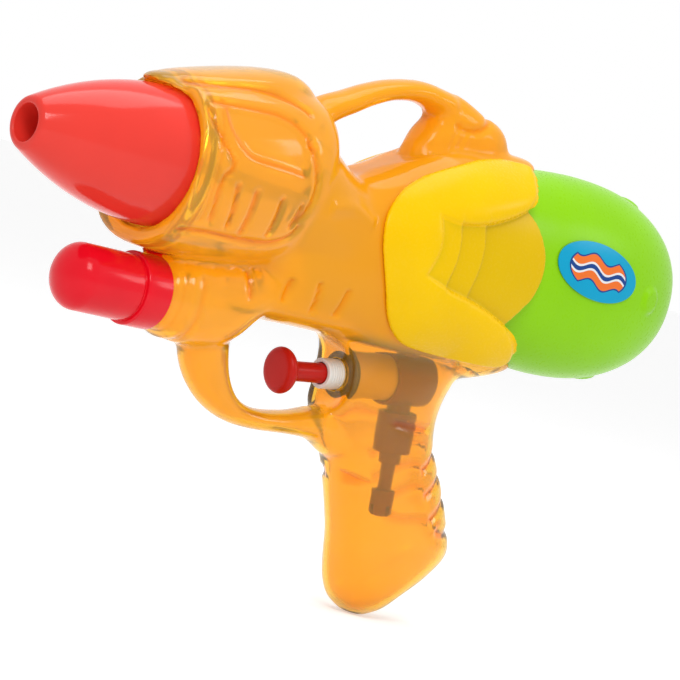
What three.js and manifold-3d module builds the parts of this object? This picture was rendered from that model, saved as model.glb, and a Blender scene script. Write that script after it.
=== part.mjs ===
// A toy water squirter: a hollow body with a carrying loop, trigger guard and grip, a nose cone,
// a screwed filler cap, a rear tank, two side covers and a finger pump inside the grip.
// Millimetres, +Z up, the muzzle towards -X, the left side towards -Y, origin in the middle of the grip.

import * as THREE from "three";
import { mergeVertices } from "three/addons/utils/BufferGeometryUtils.js";
import Module from "manifold-3d";

const wasm = await Module();
wasm.setup();

// Place of the grip's middle, measured from the tip of the nose
const GRIP_MIDDLE_X = 188;
const GRIP_MIDDLE_Z = -98;

// Walls and fits
const BODY_WALL = 1.8;
const HANDLE_WALL = 1.6;
const TANK_WALL = 1.8;
const FIT_GAP = 0.3;
const CUT_PAST = 1;

// Body: drum and hood, measured back from the drum's front face as [place, top, bottom, half width]
const DRUM_FRONT_X = 50.5;
const DRUM_STATIONS = [
  [0, 25, -29.6, 26.6],
  [6, 26.4, -30.7, 27.2],
  [19.5, 28.6, -31, 27.7],
  [35.5, 30.8, -29.8, 27.5],
  [48.5, 31.6, -27, 26.6],
  [56.5, 30, -22.5, 24],
  [62, 26, -15.5, 19],
  [65.5, 19, -7, 11],
];
const HOOD_STATIONS = [
  [-9, 24.3, 21.5, 9],
  [-5.5, 25.2, 17, 13],
  [5.5, 27.8, 15, 15],
  [22.5, 31.6, 15, 15.5],
  [40.5, 34.2, 15, 14.5],
  [51.5, 34.9, 15, 12.5],
  [57.5, 33.4, 17, 10],
  [61.5, 30.2, 19, 7],
  [64, 26.5, 20, 4],
];

// Body: middle, from inside the drum's end to the end of the side covers' form, of which the tank takes
// the last part, as [share of its length, top, bottom, half width]
const MIDDLE_LENGTH = 114;
const MIDDLE_OVERLAP = 18;
const MIDDLE_FRONT_X = DRUM_FRONT_X + DRUM_STATIONS.at(-1)[0] - MIDDLE_OVERLAP;
const SIDE_REAR_X = MIDDLE_FRONT_X + MIDDLE_LENGTH;
const TANK_UNDER_COVERS = 16;
const MIDDLE_STATIONS = [
  [0, 4, -30, 18],
  [0.105, 6, -42.5, 20.5],
  [0.21, 9, -44.3, 21],
  [0.315, 10.8, -44.5, 21.5],
  [0.42, 15.6, -46, 22.5],
  [0.52, 21.6, -49, 23.8],
  [0.615, 26, -49, 24.8],
  [0.765, 27.6, -47.5, 25.8],
  [0.895, 28, -45, 26],
  [1, 27.6, -42, 25.5],
].map(([share, ...sizes]) => [share * MIDDLE_LENGTH, ...sizes]);

// Body: lower barrel behind the filler neck, measured from its shoulder
const SHOULDER_X = 65;
const BARREL_STATIONS = [
  [0, -34, -53, 9.6],
  [3, -31.5, -55.5, 12],
  [9, -29, -57.5, 14.5],
  [21, -27, -58, 15.5],
  [31, -26, -55, 15.8],
  [39, -25, -49, 16],
  [47, -24, -45, 16.4],
  [75, -22, -44.5, 17],
];

// Body: grip, measured down from its hidden top as [place, front, back, half width]
const GRIP_TOP_Z = -38;
const GRIP_STATIONS = [
  [0, 149, 203, 14.5],
  [12, 144.5, 200, 15.5],
  [20, 145.5, 197, 15.5],
  [28, 145.5, 195.5, 15.2],
  [36, 150.5, 197, 15],
  [44, 156, 202.5, 14.8],
  [54, 161.5, 209, 15],
  [64, 166, 214.5, 15.2],
  [71.5, 169, 217.5, 15.2],
  [80, 171.8, 211, 14.8],
  [88, 175, 202, 13],
  [94, 179, 195, 9.5],
  [97.3, 184, 190, 4],
];

// Body: tail under the tank, rear fin of the carrying loop and tongue over the tank's front, measured
// from the end of the side form as [place, top, bottom, half width]
const TAIL_STATIONS = [
  [-20, -32, -51.5, 14],
  [-8, -34, -49, 13],
  [4, -35, -45.6, 11],
  [11, -36, -43, 7.5],
  [14, -37, -41.4, 4],
];
const FIN_STATIONS = [
  [-48.5, 42, 30, 5],
  [-46, 44.3, 20, 7.5],
  [-40, 45, 18, 8.5],
  [-30, 43, 18, 9],
  [-22, 40, 18, 9],
  [-16, 37.3, 18, 8.5],
  [-12, 34, 18, 7.5],
  [-10, 29, 20, 5],
];
const TONGUE_STATIONS = [
  [-30, 28, 20, 10],
  [-16, 28.4, 20, 10],
  [-6, 28.5, 20, 9],
  [-1, 28.1, 21, 7],
  [1, 27.2, 23, 4],
];

// Body: trigger guard and carrying loop, as [x, z, half depth in the middle plane, half thickness]
const GUARD_STATIONS = [
  [88, -46, 7.5, 9],
  [92, -60, 7, 8.4],
  [98, -69.2, 5.8, 7.6],
  [107, -75, 4.3, 7],
  [119, -77, 3.6, 7],
  [134, -76, 4, 7],
  [147, -74.5, 6, 8],
  [158, -78, 7, 9],
];
const LOOP_STATIONS = [
  [106, 17, 7, 8],
  [116.5, 26.4, 5.4, 7.6],
  [125.5, 31.6, 4.4, 7.2],
  [134, 36.2, 3.7, 7],
  [144, 39.9, 3.5, 7],
  [156, 41, 3.9, 7],
  [168, 39, 5, 7.5],
];

// Nose cone, along its axis
const NOSE_LENGTH = 54.5;
const NOSE_Z = -1.2;
const NOSE_BASE_RADIUS = 22.8;
const NOSE_WALL = 2.2;
const NOSE_SEAT_DEPTH = 4;
const NOSE_SEAT_WIDTH = 2.6;
const NOSE_SPIGOT_RADIUS = NOSE_BASE_RADIUS - NOSE_SEAT_WIDTH;
const NOSE_SPIGOT_LENGTH = 2.4;
const MOUTH_DEPTH = 2.2;
const MUZZLE_LIP_RADIUS = 8.2;
const MUZZLE_LIP_ROUNDING = 0.7;
const MUZZLE_BORE_RADIUS = 6.1;
const MUZZLE_BORE_DEPTH = 14;
const NOSE_INNER_WALL = 3;
const NOSE_FULLNESS = 2;

// Jet nozzle in the nose
const JET_RADIUS = 2.9;
const JET_FLANGE_RADIUS = 5.5;
const JET_FLANGE_THICKNESS = 2.2;
const JET_BORE_RADIUS = 0.8;
const NIPPLE_RADIUS = 1.4;
const NIPPLE_LENGTH = 6;

// Filler neck and cap
const NECK_RADIUS = 8.9;
const NECK_RIDGE = 0.5;
const NECK_LENGTH = 14;
const NECK_WALL = 1.6;
const CAP_SKIRT = 1.3;
const CAP_BORE = NECK_RADIUS + NECK_RIDGE + FIT_GAP;
const CAP_RADIUS = CAP_BORE + CAP_SKIRT;
const CAP_COLLAR_STEP = 1.1;
const CAP_COLLAR_RADIUS = CAP_RADIUS + CAP_COLLAR_STEP;
const CAP_COLLAR_LENGTH = 10;
const CAP_LENGTH = 37.5;
const CAP_DOME = 8;
const CAP_WALL = 2;
const CAP_CLEARANCE = 0.9;
const DRUM_LOWEST = Math.min(...DRUM_STATIONS.map(([, , bottom]) => bottom));
const FILLER_Z = DRUM_LOWEST - CAP_CLEARANCE - CAP_COLLAR_RADIUS;
const WASHER_THICKNESS = 1.4;
const WASHER_WIDTH = 2;

// Pump, in its own frame: x runs back along the rod from the sleeve's mouth
const PUMP_DROP = 19.6;
const SLEEVE_SHOW = 1.1;
const PUMP_TILT = THREE.MathUtils.degToRad(6);
const BUTTON_RADIUS = 7.9;
const BUTTON_THICKNESS = 4.6;
const BUTTON_CLEARANCE = 4.4;
const TRIGGER_TRAVEL = 10.5;
const BUTTON_REACH = BUTTON_THICKNESS + TRIGGER_TRAVEL + BUTTON_CLEARANCE;
const ROD_RADIUS = 3.4;
const SLEEVE_WALL = 1.5;
const SLEEVE_BORE = ROD_RADIUS + FIT_GAP;
const SLEEVE_RADIUS = SLEEVE_BORE + SLEEVE_WALL;
const SLEEVE_LENGTH = 10.8;
const CYLINDER_BORE = 6;
const CYLINDER_WALL = 1.6;
const CYLINDER_RADIUS = CYLINDER_BORE + CYLINDER_WALL;
const CYLINDER_RESERVE = 5.4;
const PISTON_THICKNESS = 4;
const BOSS_CLEARANCE = 1.1;
const PORT_BOSS_RADIUS = CYLINDER_RADIUS + BOSS_CLEARANCE + BODY_WALL;
const PORT_BOSS_DEPTH = 8;
const PORT_WALL = 2.2;
const GASKET_THICKNESS = 1.5;
const SEAL_WIRE = 0.75;

// Valve block and its two valves
const BLOCK_WALL = 1.1;
const BLOCK_BACK_WALL = 3.2;
const BLOCK_SOCKET = 5;
const CHAMBER_DEPTH = 9;
const BLOCK_RADIUS = CYLINDER_RADIUS + FIT_GAP + BLOCK_WALL;
const BLOCK_LENGTH = BLOCK_SOCKET + FIT_GAP + CHAMBER_DEPTH + BLOCK_BACK_WALL;
const VALVE_SPIGOT_RADIUS = 4;
const VALVE_SPIGOT_LENGTH = 6;
const VALVE_PORT_RADIUS = 1.8;
const VALVE_HOUSING_SIDE = 2.1;
const VALVE_HOUSING_RADIUS = VALVE_SPIGOT_RADIUS + FIT_GAP + VALVE_HOUSING_SIDE;
const VALVE_HOUSING_WALL = 2.4;
const BALL_SEAT = 0.6;
const BALL_CLEARANCE = 0.8;
const BALL_RADIUS = VALVE_PORT_RADIUS + BALL_SEAT;
const BALL_LIFT = 1.2;
const VALVE_OVERLAP = 3.6;

// Suction tube, strainer and outlet hose
const TUBE_RADIUS = 2.4;
const TUBE_WALL = 0.9;
const TUBE_LENGTH = 17;
const TUBE_SOCKET_DEPTH = 4;
const STRAINER_WALL = 1.2;
const STRAINER_RADIUS = TUBE_RADIUS + FIT_GAP + STRAINER_WALL;
const STRAINER_LENGTH = 9;
const STRAINER_SLOT = 1.6;
const HOSE_WALL = 1;
const HOSE_CLEARANCE = 0.5;
const HOSE_RADIUS = NIPPLE_RADIUS + HOSE_CLEARANCE + HOSE_WALL;

// Return spring
const SPRING_WIRE = 0.8;
const SPRING_TURNS = 6;
const SPRING_CLEARANCE = 0.8;

// Tank, measured back from its front face as [place, half height, half width]
const TANK_MIDDLE_Z = -7;
const TANK_STATIONS = [
  [0, 32.4, 23.2],
  [8, 32.6, 23.4],
  [16, 33.2, 23.9],
  [26, 34.5, 24.7],
  [41, 35.2, 25.2],
  [56, 34.2, 24.6],
  [68, 31.4, 22.8],
  [79, 26.4, 19.4],
  [87, 20, 15],
  [92.5, 12.4, 9.4],
  [95, 5, 4],
];
const TANK_NECK_RADIUS = 14;
const TANK_NECK_LENGTH = 9;
const TANK_NECK_CLEARANCE = 0.4;
const TANK_SEAL_WIDTH = 3;
const TANK_SEAL_THICKNESS = 1.8;
const BULKHEAD_WALL = 1.9;
const BULKHEAD_CLEARANCE = 4;
const BULKHEAD = TANK_SEAL_THICKNESS + FIT_GAP + BULKHEAD_WALL;
const NUB_PLACE = 69;
const NUB_RADIUS = 2.4;
const NUB_HEIGHT = 1.2;

// Label on the tank's left side
const LABEL_PLACE = 38.2;
const LABEL_Z = -1.8;
const LABEL_HALF_LENGTH = 19.6;
const LABEL_HALF_HEIGHT = 9.6;
const LABEL_TILT = THREE.MathUtils.degToRad(-6);
const LABEL_THICKNESS = 0.4;

// Side covers: heights above the side form of the thin front edge, the wings, the steps of the fan and
// its rear plate, with places along X measured from the end of the side form
const COVER_EDGE_HEIGHT = 1.2;
const COVER_RISE_PLACE = -76;
const COVER_RISE_LENGTH = 22;
const COVER_WING_HEIGHT = 5;
const COVER_STEP_HEIGHTS = [3.6, 2.4];
const COVER_STEP_PLACES = [-46, -34.5];
const COVER_PLATE_HEIGHT = 1.2;

// Fineness of round pieces
const BODY_SIDES = 20;
const FORM_SIDES = 14;
const CAVITY_SIDES = 14;
const HANDLE_SIDES = 10;
const ROUND_SIDES = 24;
const SMALL_SIDES = 16;
const BODY_ROUNDNESS = 2.4;
const TANK_ROUNDNESS = 2.2;

// Colours
const material = (color, roughness, metalness = 0) =>
  new THREE.MeshStandardMaterial({ color, roughness, metalness });
const ORANGE = material(0xff9a1f, 0.2);
const RED = material(0xee4436, 0.3);
const CRIMSON = material(0xe0142c, 0.2);
const TRIGGER_RED = material(0xc8201a, 0.3);
const WHITE = material(0xe8e6e0, 0.45);
const DARK = material(0x3a2a24, 0.5);
const GREEN = material(0x8fd90a, 0.3);
const YELLOW = material(0xfdd000, 0.3);
const BLUE = material(0x0a9ad8, 0.3);
const CLEAR_HOSE = material(0xe8ddc8, 0.35);
const RUBBER = material(0x2b2b2b, 0.8);
const STEEL = material(0xb8bcc0, 0.3, 1);

// Slope of one field of a station table at one of its stations
function slopeAt(stations, index, field) {
  const before = stations[Math.max(index - 1, 0)];
  const after = stations[Math.min(index + 1, stations.length - 1)];
  return (after[field] - before[field]) / (after[0] - before[0]);
}

// Fields of a station table at any place along it, on smooth cubics through the stations
function stationAt(stations, place) {
  let index = 0;
  while (index < stations.length - 2 && place > stations[index + 1][0]) {
    index += 1;
  }
  const start = stations[index];
  const end = stations[index + 1];
  const span = end[0] - start[0];
  const t = (place - start[0]) / span;
  const rise = 3 * t ** 2 - 2 * t ** 3;
  return start.map((value, field) => {
    const leaving = slopeAt(stations, index, field) * t * (1 - t) ** 2;
    const arriving = slopeAt(stations, index + 1, field) * t ** 2 * (1 - t);
    return value + (end[field] - value) * rise + span * (leaving - arriving);
  });
}

// Places of a table's stations, drawn in by a margin at each end
function placesAlong(stations, frontMargin, rearMargin) {
  const first = stations[0][0];
  const last = stations[stations.length - 1][0];
  const share = (last - first - frontMargin - rearMargin) / (last - first);
  return stations.map(([place]) => first + frontMargin + (place - first) * share);
}

// Point of a rounded oval with half sizes of one, from a circle at power 2 towards a square
function ovalPoint(angle, power) {
  const bend = (value) => Math.sign(value) * Math.abs(value) ** (2 / power);
  return [bend(Math.cos(angle)), bend(Math.sin(angle))];
}

// Closed geometry with its faces turned outwards
function closedGeometry(positions, index) {
  const geometry = new THREE.BufferGeometry();
  geometry.setAttribute("position", new THREE.Float32BufferAttribute(positions, 3));
  geometry.setIndex(index);
  return facingOut(geometry);
}

function facingOut(geometry) {
  const position = geometry.getAttribute("position");
  const index = Array.from(geometry.getIndex().array);
  const corner = [new THREE.Vector3(), new THREE.Vector3(), new THREE.Vector3()];
  let volume = 0;
  for (let i = 0; i < index.length; i += 3) {
    corner.forEach((point, k) => point.fromBufferAttribute(position, index[i + k]));
    volume += corner[0].dot(corner[1].clone().cross(corner[2]));
  }
  if (volume < 0) {
    geometry.setIndex(index.reverse());
  }
  return geometry;
}

// Solid through rings of equal count, closed flat at both ends
function loft(rings) {
  const count = rings[0].length;
  const positions = rings.flat().flatMap((point) => [point.x, point.y, point.z]);
  const index = [];
  for (let ring = 0; ring + 1 < rings.length; ring += 1) {
    for (let side = 0; side < count; side += 1) {
      const a = ring * count + side;
      const b = ring * count + ((side + 1) % count);
      index.push(a, b, a + count, b, b + count, a + count);
    }
  }
  [0, rings.length - 1].forEach((ring) => {
    const middle = positions.length / 3;
    const centre = new THREE.Vector3();
    rings[ring].forEach((point) => centre.add(point));
    centre.divideScalar(count);
    positions.push(centre.x, centre.y, centre.z);
    for (let side = 0; side < count; side += 1) {
      const a = ring * count + side;
      const b = ring * count + ((side + 1) % count);
      index.push(...(ring === 0 ? [middle, b, a] : [middle, a, b]));
    }
  });
  return closedGeometry(positions, index);
}

const LEAST_HALF = 0.8;

// Solid along X through a table of [place, top, bottom, half width], drawn in by an inset all round
function alongX(stations, startX, options = {}) {
  const { inset = 0, front = 0, rear = 0, sides = BODY_SIDES, power = BODY_ROUNDNESS } = options;
  const rings = placesAlong(stations, front, rear).map((place) => {
    const [, top, bottom, halfWidth] = stationAt(stations, place);
    const middle = (top + bottom) / 2;
    const high = Math.max((top - bottom) / 2 - inset, LEAST_HALF);
    const wide = Math.max(halfWidth - inset, LEAST_HALF);
    return Array.from({ length: sides }, (_, side) => {
      const [across, up] = ovalPoint((2 * Math.PI * side) / sides, power);
      return new THREE.Vector3(startX + place, wide * across, middle + high * up);
    });
  });
  return loft(rings);
}

// Solid down from a height through a table of [place, front, back, half width]
function downward(stations, topZ, options = {}) {
  const { inset = 0, top = 0, bottom = 0, sides = BODY_SIDES, power = BODY_ROUNDNESS } = options;
  const rings = placesAlong(stations, top, bottom).map((place) => {
    const [, front, back, halfWidth] = stationAt(stations, place);
    const middle = (front + back) / 2;
    const long = Math.max((back - front) / 2 - inset, LEAST_HALF);
    const wide = Math.max(halfWidth - inset, LEAST_HALF);
    return Array.from({ length: sides }, (_, side) => {
      const [along, across] = ovalPoint((2 * Math.PI * side) / sides, power);
      return new THREE.Vector3(middle + long * along, wide * across, topZ - place);
    });
  });
  return loft(rings);
}

// Bar that follows a curve in the middle plane, from [x, z, half depth, half thickness] stations
function bar(stations, inset, steps) {
  const curve = new THREE.CatmullRomCurve3(stations.map(([x, z]) => new THREE.Vector3(x, 0, z)));
  const numbered = stations.map(([, , depth, thickness], index) => [index, depth, thickness]);
  const rings = Array.from({ length: steps + 1 }, (_, step) => {
    const t = step / steps;
    const centre = curve.getPoint(t);
    const tangent = curve.getTangent(t);
    const [, depth, thickness] = stationAt(numbered, t * (stations.length - 1));
    return Array.from({ length: HANDLE_SIDES }, (_, side) => {
      const angle = (2 * Math.PI * side) / HANDLE_SIDES;
      const reach = (depth - inset) * Math.cos(angle);
      const across = (thickness - inset) * Math.sin(angle);
      return new THREE.Vector3(centre.x - tangent.z * reach, across, centre.z + tangent.x * reach);
    });
  });
  return loft(rings);
}

// Turned solid about the X axis from a closed outline of [place, radius] points
function turned(outline, sides = SMALL_SIDES) {
  const points = outline.map(([place, radius]) => new THREE.Vector2(radius, place));
  points.push(points[0].clone());
  const geometry = new THREE.LatheGeometry(points, sides);
  geometry.rotateZ(-Math.PI / 2);
  return withoutSeams(geometry);
}

// Rod or disc about the X axis
const disc = (from, to, radius, sides = SMALL_SIDES) =>
  turned([[from, 0], [from, radius], [to, radius], [to, 0]], sides);

// Flat ring about the X axis
const ring = (from, to, inner, outer, sides = SMALL_SIDES) =>
  turned([[from, inner], [from, outer], [to, outer], [to, inner]], sides);

// Geometry with shared points merged and faces of no area left out
function withoutSeams(geometry) {
  geometry.deleteAttribute("normal");
  geometry.deleteAttribute("uv");
  const merged = mergeVertices(geometry, 1e-4);
  const old = merged.getIndex().array;
  const index = [];
  for (let i = 0; i < old.length; i += 3) {
    const face = [old[i], old[i + 1], old[i + 2]];
    if (new Set(face).size === 3) {
      index.push(...face);
    }
  }
  merged.setIndex(index);
  return facingOut(merged);
}

// Solids for joining and cutting, and back
function solid(geometry) {
  return new wasm.Manifold(
    new wasm.Mesh({
      numProp: 3,
      vertProperties: new Float32Array(geometry.getAttribute("position").array),
      triVerts: new Uint32Array(geometry.getIndex().array),
    })
  );
}

function geometryOf(body) {
  const mesh = body.getMesh();
  return closedGeometry(Array.from(mesh.vertProperties), Array.from(mesh.triVerts));
}

const joined = (geometries) => geometries.map(solid).reduce((whole, next) => whole.add(next));

// The same geometry turned upright, with its axis along Z, or moved
const upright = (geometry) => geometry.rotateY(-Math.PI / 2);
const moved = (geometry, x, y, z) => geometry.translate(x, y, z);

// The assembly holds the body's frame, whose zero is the designed tip of the nose on the drum's axis
const squirter = new THREE.Group();
const assembly = new THREE.Group();
assembly.position.set(-GRIP_MIDDLE_X, 0, -GRIP_MIDDLE_Z);
squirter.add(assembly);

function addPiece(parent, name, geometry, look) {
  const mesh = new THREE.Mesh(geometry, look);
  mesh.name = name;
  parent.add(mesh);
  return mesh;
}

const [, GRIP_FRONT_AT_PUMP] = stationAt(GRIP_STATIONS, PUMP_DROP);
const PUMP_MOUTH_X = GRIP_FRONT_AT_PUMP - SLEEVE_SHOW;
const PUMP_MOUTH_Z = GRIP_TOP_Z - PUMP_DROP;
const pump = new THREE.Group();
pump.position.set(PUMP_MOUTH_X, 0, PUMP_MOUTH_Z);
pump.rotation.y = -PUMP_TILT;
assembly.add(pump);

const filler = new THREE.Group();
const NECK_FACE_X = SHOULDER_X + BODY_WALL - NECK_LENGTH;
filler.position.set(NECK_FACE_X, 0, FILLER_Z);
assembly.add(filler);

const nose = new THREE.Group();
const NOSE_BASE_X = DRUM_FRONT_X + NOSE_SEAT_DEPTH;
nose.position.set(NOSE_BASE_X, 0, NOSE_Z);
assembly.add(nose);

// A geometry of the pump's frame, brought into the body's frame
const fromPump = (geometry) =>
  moved(geometry.rotateY(-PUMP_TILT), PUMP_MOUTH_X, 0, PUMP_MOUTH_Z);
const pumpPoint = (x, z) =>
  new THREE.Vector3(x, 0, z)
    .applyAxisAngle(new THREE.Vector3(0, 1, 0), -PUMP_TILT)
    .add(new THREE.Vector3(PUMP_MOUTH_X, 0, PUMP_MOUTH_Z));

// Places along the pump that several of its pieces share
const PISTON_FRONT = SLEEVE_LENGTH + BODY_WALL + FIT_GAP;
const PISTON_BACK = PISTON_FRONT + PISTON_THICKNESS;
const CYLINDER_BACK = PISTON_BACK + TRIGGER_TRAVEL + CYLINDER_RESERVE;
const CHAMBER_FRONT = CYLINDER_BACK + FIT_GAP;
const CHAMBER_BACK = CHAMBER_FRONT + CHAMBER_DEPTH;
const VALVE_X = (CHAMBER_FRONT + CHAMBER_BACK) / 2;
const SPIGOT_END = BLOCK_RADIUS + VALVE_SPIGOT_LENGTH;
const HOUSING_FOOT = SPIGOT_END - VALVE_OVERLAP;

// The body's rear wall stands under the rear of the side covers, clear of the outlet valve
const VALVE_REAR_X = pumpPoint(VALVE_X + VALVE_HOUSING_RADIUS, HOUSING_FOOT).x;
const VALVE_CLEAR_X = VALVE_REAR_X + BULKHEAD_CLEARANCE + BULKHEAD;
const BODY_REAR_X = Math.max(SIDE_REAR_X - TANK_UNDER_COVERS, VALVE_CLEAR_X);
const TANK_OVERLAP = SIDE_REAR_X - BODY_REAR_X;

// Tank envelope at a height above the tank's own surface
const TANK_FRONT_X = BODY_REAR_X + FIT_GAP;
function tankEnvelope(height, front = 0, rear = 0, sides = ROUND_SIDES) {
  const stations = TANK_STATIONS.map(([place, halfHeight, halfWidth]) => [
    place,
    TANK_MIDDLE_Z + halfHeight,
    TANK_MIDDLE_Z - halfHeight,
    halfWidth,
  ]);
  return alongX(stations, TANK_FRONT_X, { inset: -height, front, rear, sides, power: TANK_ROUNDNESS });
}

// Body shell: outer forms joined, then the hollow and the four openings cut
const SLEEVE_STEP = SLEEVE_LENGTH - 2 * FIT_GAP - GASKET_THICKNESS;
const PORT_FACE = SLEEVE_STEP - PORT_WALL;
const TANK_PORT_RADIUS = TANK_NECK_RADIUS + TANK_NECK_CLEARANCE;

function bodyShell() {
  const outer = joined([
    alongX(DRUM_STATIONS, DRUM_FRONT_X),
    alongX(HOOD_STATIONS, DRUM_FRONT_X, { sides: FORM_SIDES }),
    alongX(MIDDLE_STATIONS, MIDDLE_FRONT_X, { rear: TANK_OVERLAP }),
    alongX(BARREL_STATIONS, SHOULDER_X),
    alongX(TAIL_STATIONS, SIDE_REAR_X, { sides: FORM_SIDES }),
    alongX(FIN_STATIONS, SIDE_REAR_X, { sides: FORM_SIDES }),
    alongX(TONGUE_STATIONS, SIDE_REAR_X, { sides: FORM_SIDES }),
    downward(GRIP_STATIONS, GRIP_TOP_Z),
    bar(GUARD_STATIONS, 0, 14),
    bar(LOOP_STATIONS, 0, 12),
    neck(),
    fromPump(disc(PORT_FACE, PORT_FACE + PORT_BOSS_DEPTH, PORT_BOSS_RADIUS)),
  ]);
  const sides = CAVITY_SIDES;
  const inset = BODY_WALL;
  const drumMargin = NOSE_SEAT_DEPTH + MOUTH_DEPTH;
  const hollow = joined([
    alongX(DRUM_STATIONS, DRUM_FRONT_X, { inset, sides, front: drumMargin, rear: inset }),
    alongX(MIDDLE_STATIONS, MIDDLE_FRONT_X, { inset, sides, front: inset, rear: TANK_OVERLAP + BULKHEAD }),
    alongX(BARREL_STATIONS, SHOULDER_X, { inset, sides, front: inset }),
    alongX(FIN_STATIONS, SIDE_REAR_X, { inset, sides: HANDLE_SIDES, front: inset, rear: inset }),
    downward(GRIP_STATIONS, GRIP_TOP_Z, { inset, sides, bottom: inset }),
    bar(GUARD_STATIONS, HANDLE_WALL, 14),
    bar(LOOP_STATIONS, HANDLE_WALL, 12),
  ]);
  const boss = solid(fromPump(disc(PORT_FACE, PORT_FACE + PORT_BOSS_DEPTH, PORT_BOSS_RADIUS)));
  const bossBore = fromPump(
    disc(SLEEVE_STEP, PORT_FACE + PORT_BOSS_DEPTH + BODY_WALL, PORT_BOSS_RADIUS - BODY_WALL)
  );
  const recessRadius = NOSE_BASE_RADIUS + 2 * FIT_GAP;
  const hoodTip = DRUM_FRONT_X + HOOD_STATIONS[0][0];
  const recess = disc(hoodTip - CUT_PAST, NOSE_BASE_X + FIT_GAP, recessRadius, ROUND_SIDES);
  const mouth = disc(
    DRUM_FRONT_X,
    NOSE_BASE_X + MOUTH_DEPTH + BODY_WALL,
    NOSE_SPIGOT_RADIUS + FIT_GAP,
    ROUND_SIDES
  );
  [recess, mouth].forEach((opening) => moved(opening, 0, 0, NOSE_Z));
  const neckBore = moved(
    disc(NECK_FACE_X - CUT_PAST, SHOULDER_X + 3 * BODY_WALL, NECK_RADIUS - NECK_WALL),
    0,
    0,
    FILLER_Z
  );
  const portBore = fromPump(
    disc(PORT_FACE - 2 * CUT_PAST, SLEEVE_STEP + CUT_PAST, SLEEVE_RADIUS + FIT_GAP)
  );
  const portPocket = fromPump(disc(PORT_FACE - PORT_BOSS_DEPTH, PORT_FACE, PORT_BOSS_RADIUS));
  const tankPort = moved(
    disc(BODY_REAR_X - BULKHEAD - CUT_PAST, BODY_REAR_X + CUT_PAST, TANK_PORT_RADIUS, ROUND_SIDES),
    0,
    0,
    TANK_MIDDLE_Z
  );
  const sealSeat = moved(
    disc(
      BODY_REAR_X - TANK_SEAL_THICKNESS - FIT_GAP,
      BODY_REAR_X + CUT_PAST,
      TANK_PORT_RADIUS + TANK_SEAL_WIDTH + FIT_GAP,
      ROUND_SIDES
    ),
    0,
    0,
    TANK_MIDDLE_Z
  );
  return outer
    .subtract(hollow.subtract(boss))
    .subtract(joined([bossBore, portBore, portPocket]))
    .subtract(joined([recess, mouth]))
    .subtract(solid(neckBore))
    .subtract(joined([tankPort, sealSeat]))
    .subtract(solid(tankEnvelope(FIT_GAP)));
}

// Filler neck with two ridges of its screw thread
function neck() {
  const top = NECK_RADIUS + NECK_RIDGE;
  const outline = [[0, 0], [0, NECK_RADIUS]];
  [0.25, 0.55].forEach((share) => {
    const place = share * NECK_LENGTH;
    outline.push([place, NECK_RADIUS], [place + NECK_RIDGE, top]);
    outline.push([place + 2 * NECK_RIDGE, top], [place + 3 * NECK_RIDGE, NECK_RADIUS]);
  });
  outline.push([NECK_LENGTH + BODY_WALL, NECK_RADIUS], [NECK_LENGTH + BODY_WALL, 0]);
  return moved(turned(outline), NECK_FACE_X, 0, FILLER_Z);
}

addPiece(assembly, "body_shell", geometryOf(bodyShell()), ORANGE);

// Nose cone: pointed-arch outline from the lip to the base, then the spigot, hollow and muzzle bore
function noseRadius(place) {
  const share = 1 - (place + NOSE_LENGTH) / NOSE_LENGTH;
  return NOSE_BASE_RADIUS - (NOSE_BASE_RADIUS - MUZZLE_LIP_RADIUS) * Math.abs(share) ** NOSE_FULLNESS;
}

const NOSE_INNER_FACE = MUZZLE_BORE_DEPTH + NOSE_INNER_WALL - NOSE_LENGTH;

function noseCone() {
  const rounding = MUZZLE_LIP_ROUNDING;
  const outline = [[-NOSE_LENGTH, MUZZLE_BORE_RADIUS], [-NOSE_LENGTH, MUZZLE_LIP_RADIUS - rounding]];
  const outerSteps = 9;
  for (let step = 0; step <= outerSteps; step += 1) {
    const place = -NOSE_LENGTH + rounding + (step / outerSteps) * (NOSE_LENGTH - rounding);
    outline.push([place, noseRadius(place)]);
  }
  outline.push([0, NOSE_SPIGOT_RADIUS], [NOSE_SPIGOT_LENGTH, NOSE_SPIGOT_RADIUS]);
  outline.push([NOSE_SPIGOT_LENGTH, NOSE_SPIGOT_RADIUS - NOSE_WALL]);
  const innerSteps = 4;
  for (let step = 0; step <= innerSteps; step += 1) {
    const place = (step / innerSteps) * NOSE_INNER_FACE;
    outline.push([place, Math.min(noseRadius(place), NOSE_SPIGOT_RADIUS) - NOSE_WALL]);
  }
  outline.push([NOSE_INNER_FACE, JET_RADIUS + FIT_GAP]);
  outline.push([MUZZLE_BORE_DEPTH - NOSE_LENGTH, JET_RADIUS + FIT_GAP]);
  outline.push([MUZZLE_BORE_DEPTH - NOSE_LENGTH, MUZZLE_BORE_RADIUS]);
  return turned(outline, ROUND_SIDES);
}

addPiece(nose, "nose_cone", noseCone(), RED);

// Jet nozzle: a spigot through the nose's inner wall, a flange behind it and a nipple for the hose
const JET_FLANGE_FRONT = NOSE_INNER_FACE + FIT_GAP;
const JET_FLANGE_BACK = JET_FLANGE_FRONT + JET_FLANGE_THICKNESS;
const JET_FRONT = MUZZLE_BORE_DEPTH - NOSE_LENGTH;
addPiece(
  nose,
  "jet_nozzle",
  turned([
    [JET_FRONT, JET_BORE_RADIUS],
    [JET_FRONT, JET_RADIUS],
    [JET_FLANGE_FRONT, JET_RADIUS],
    [JET_FLANGE_FRONT, JET_FLANGE_RADIUS],
    [JET_FLANGE_BACK, JET_FLANGE_RADIUS],
    [JET_FLANGE_BACK, NIPPLE_RADIUS],
    [JET_FLANGE_BACK + NIPPLE_LENGTH, NIPPLE_RADIUS],
    [JET_FLANGE_BACK + NIPPLE_LENGTH, JET_BORE_RADIUS],
  ]),
  WHITE
);

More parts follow.
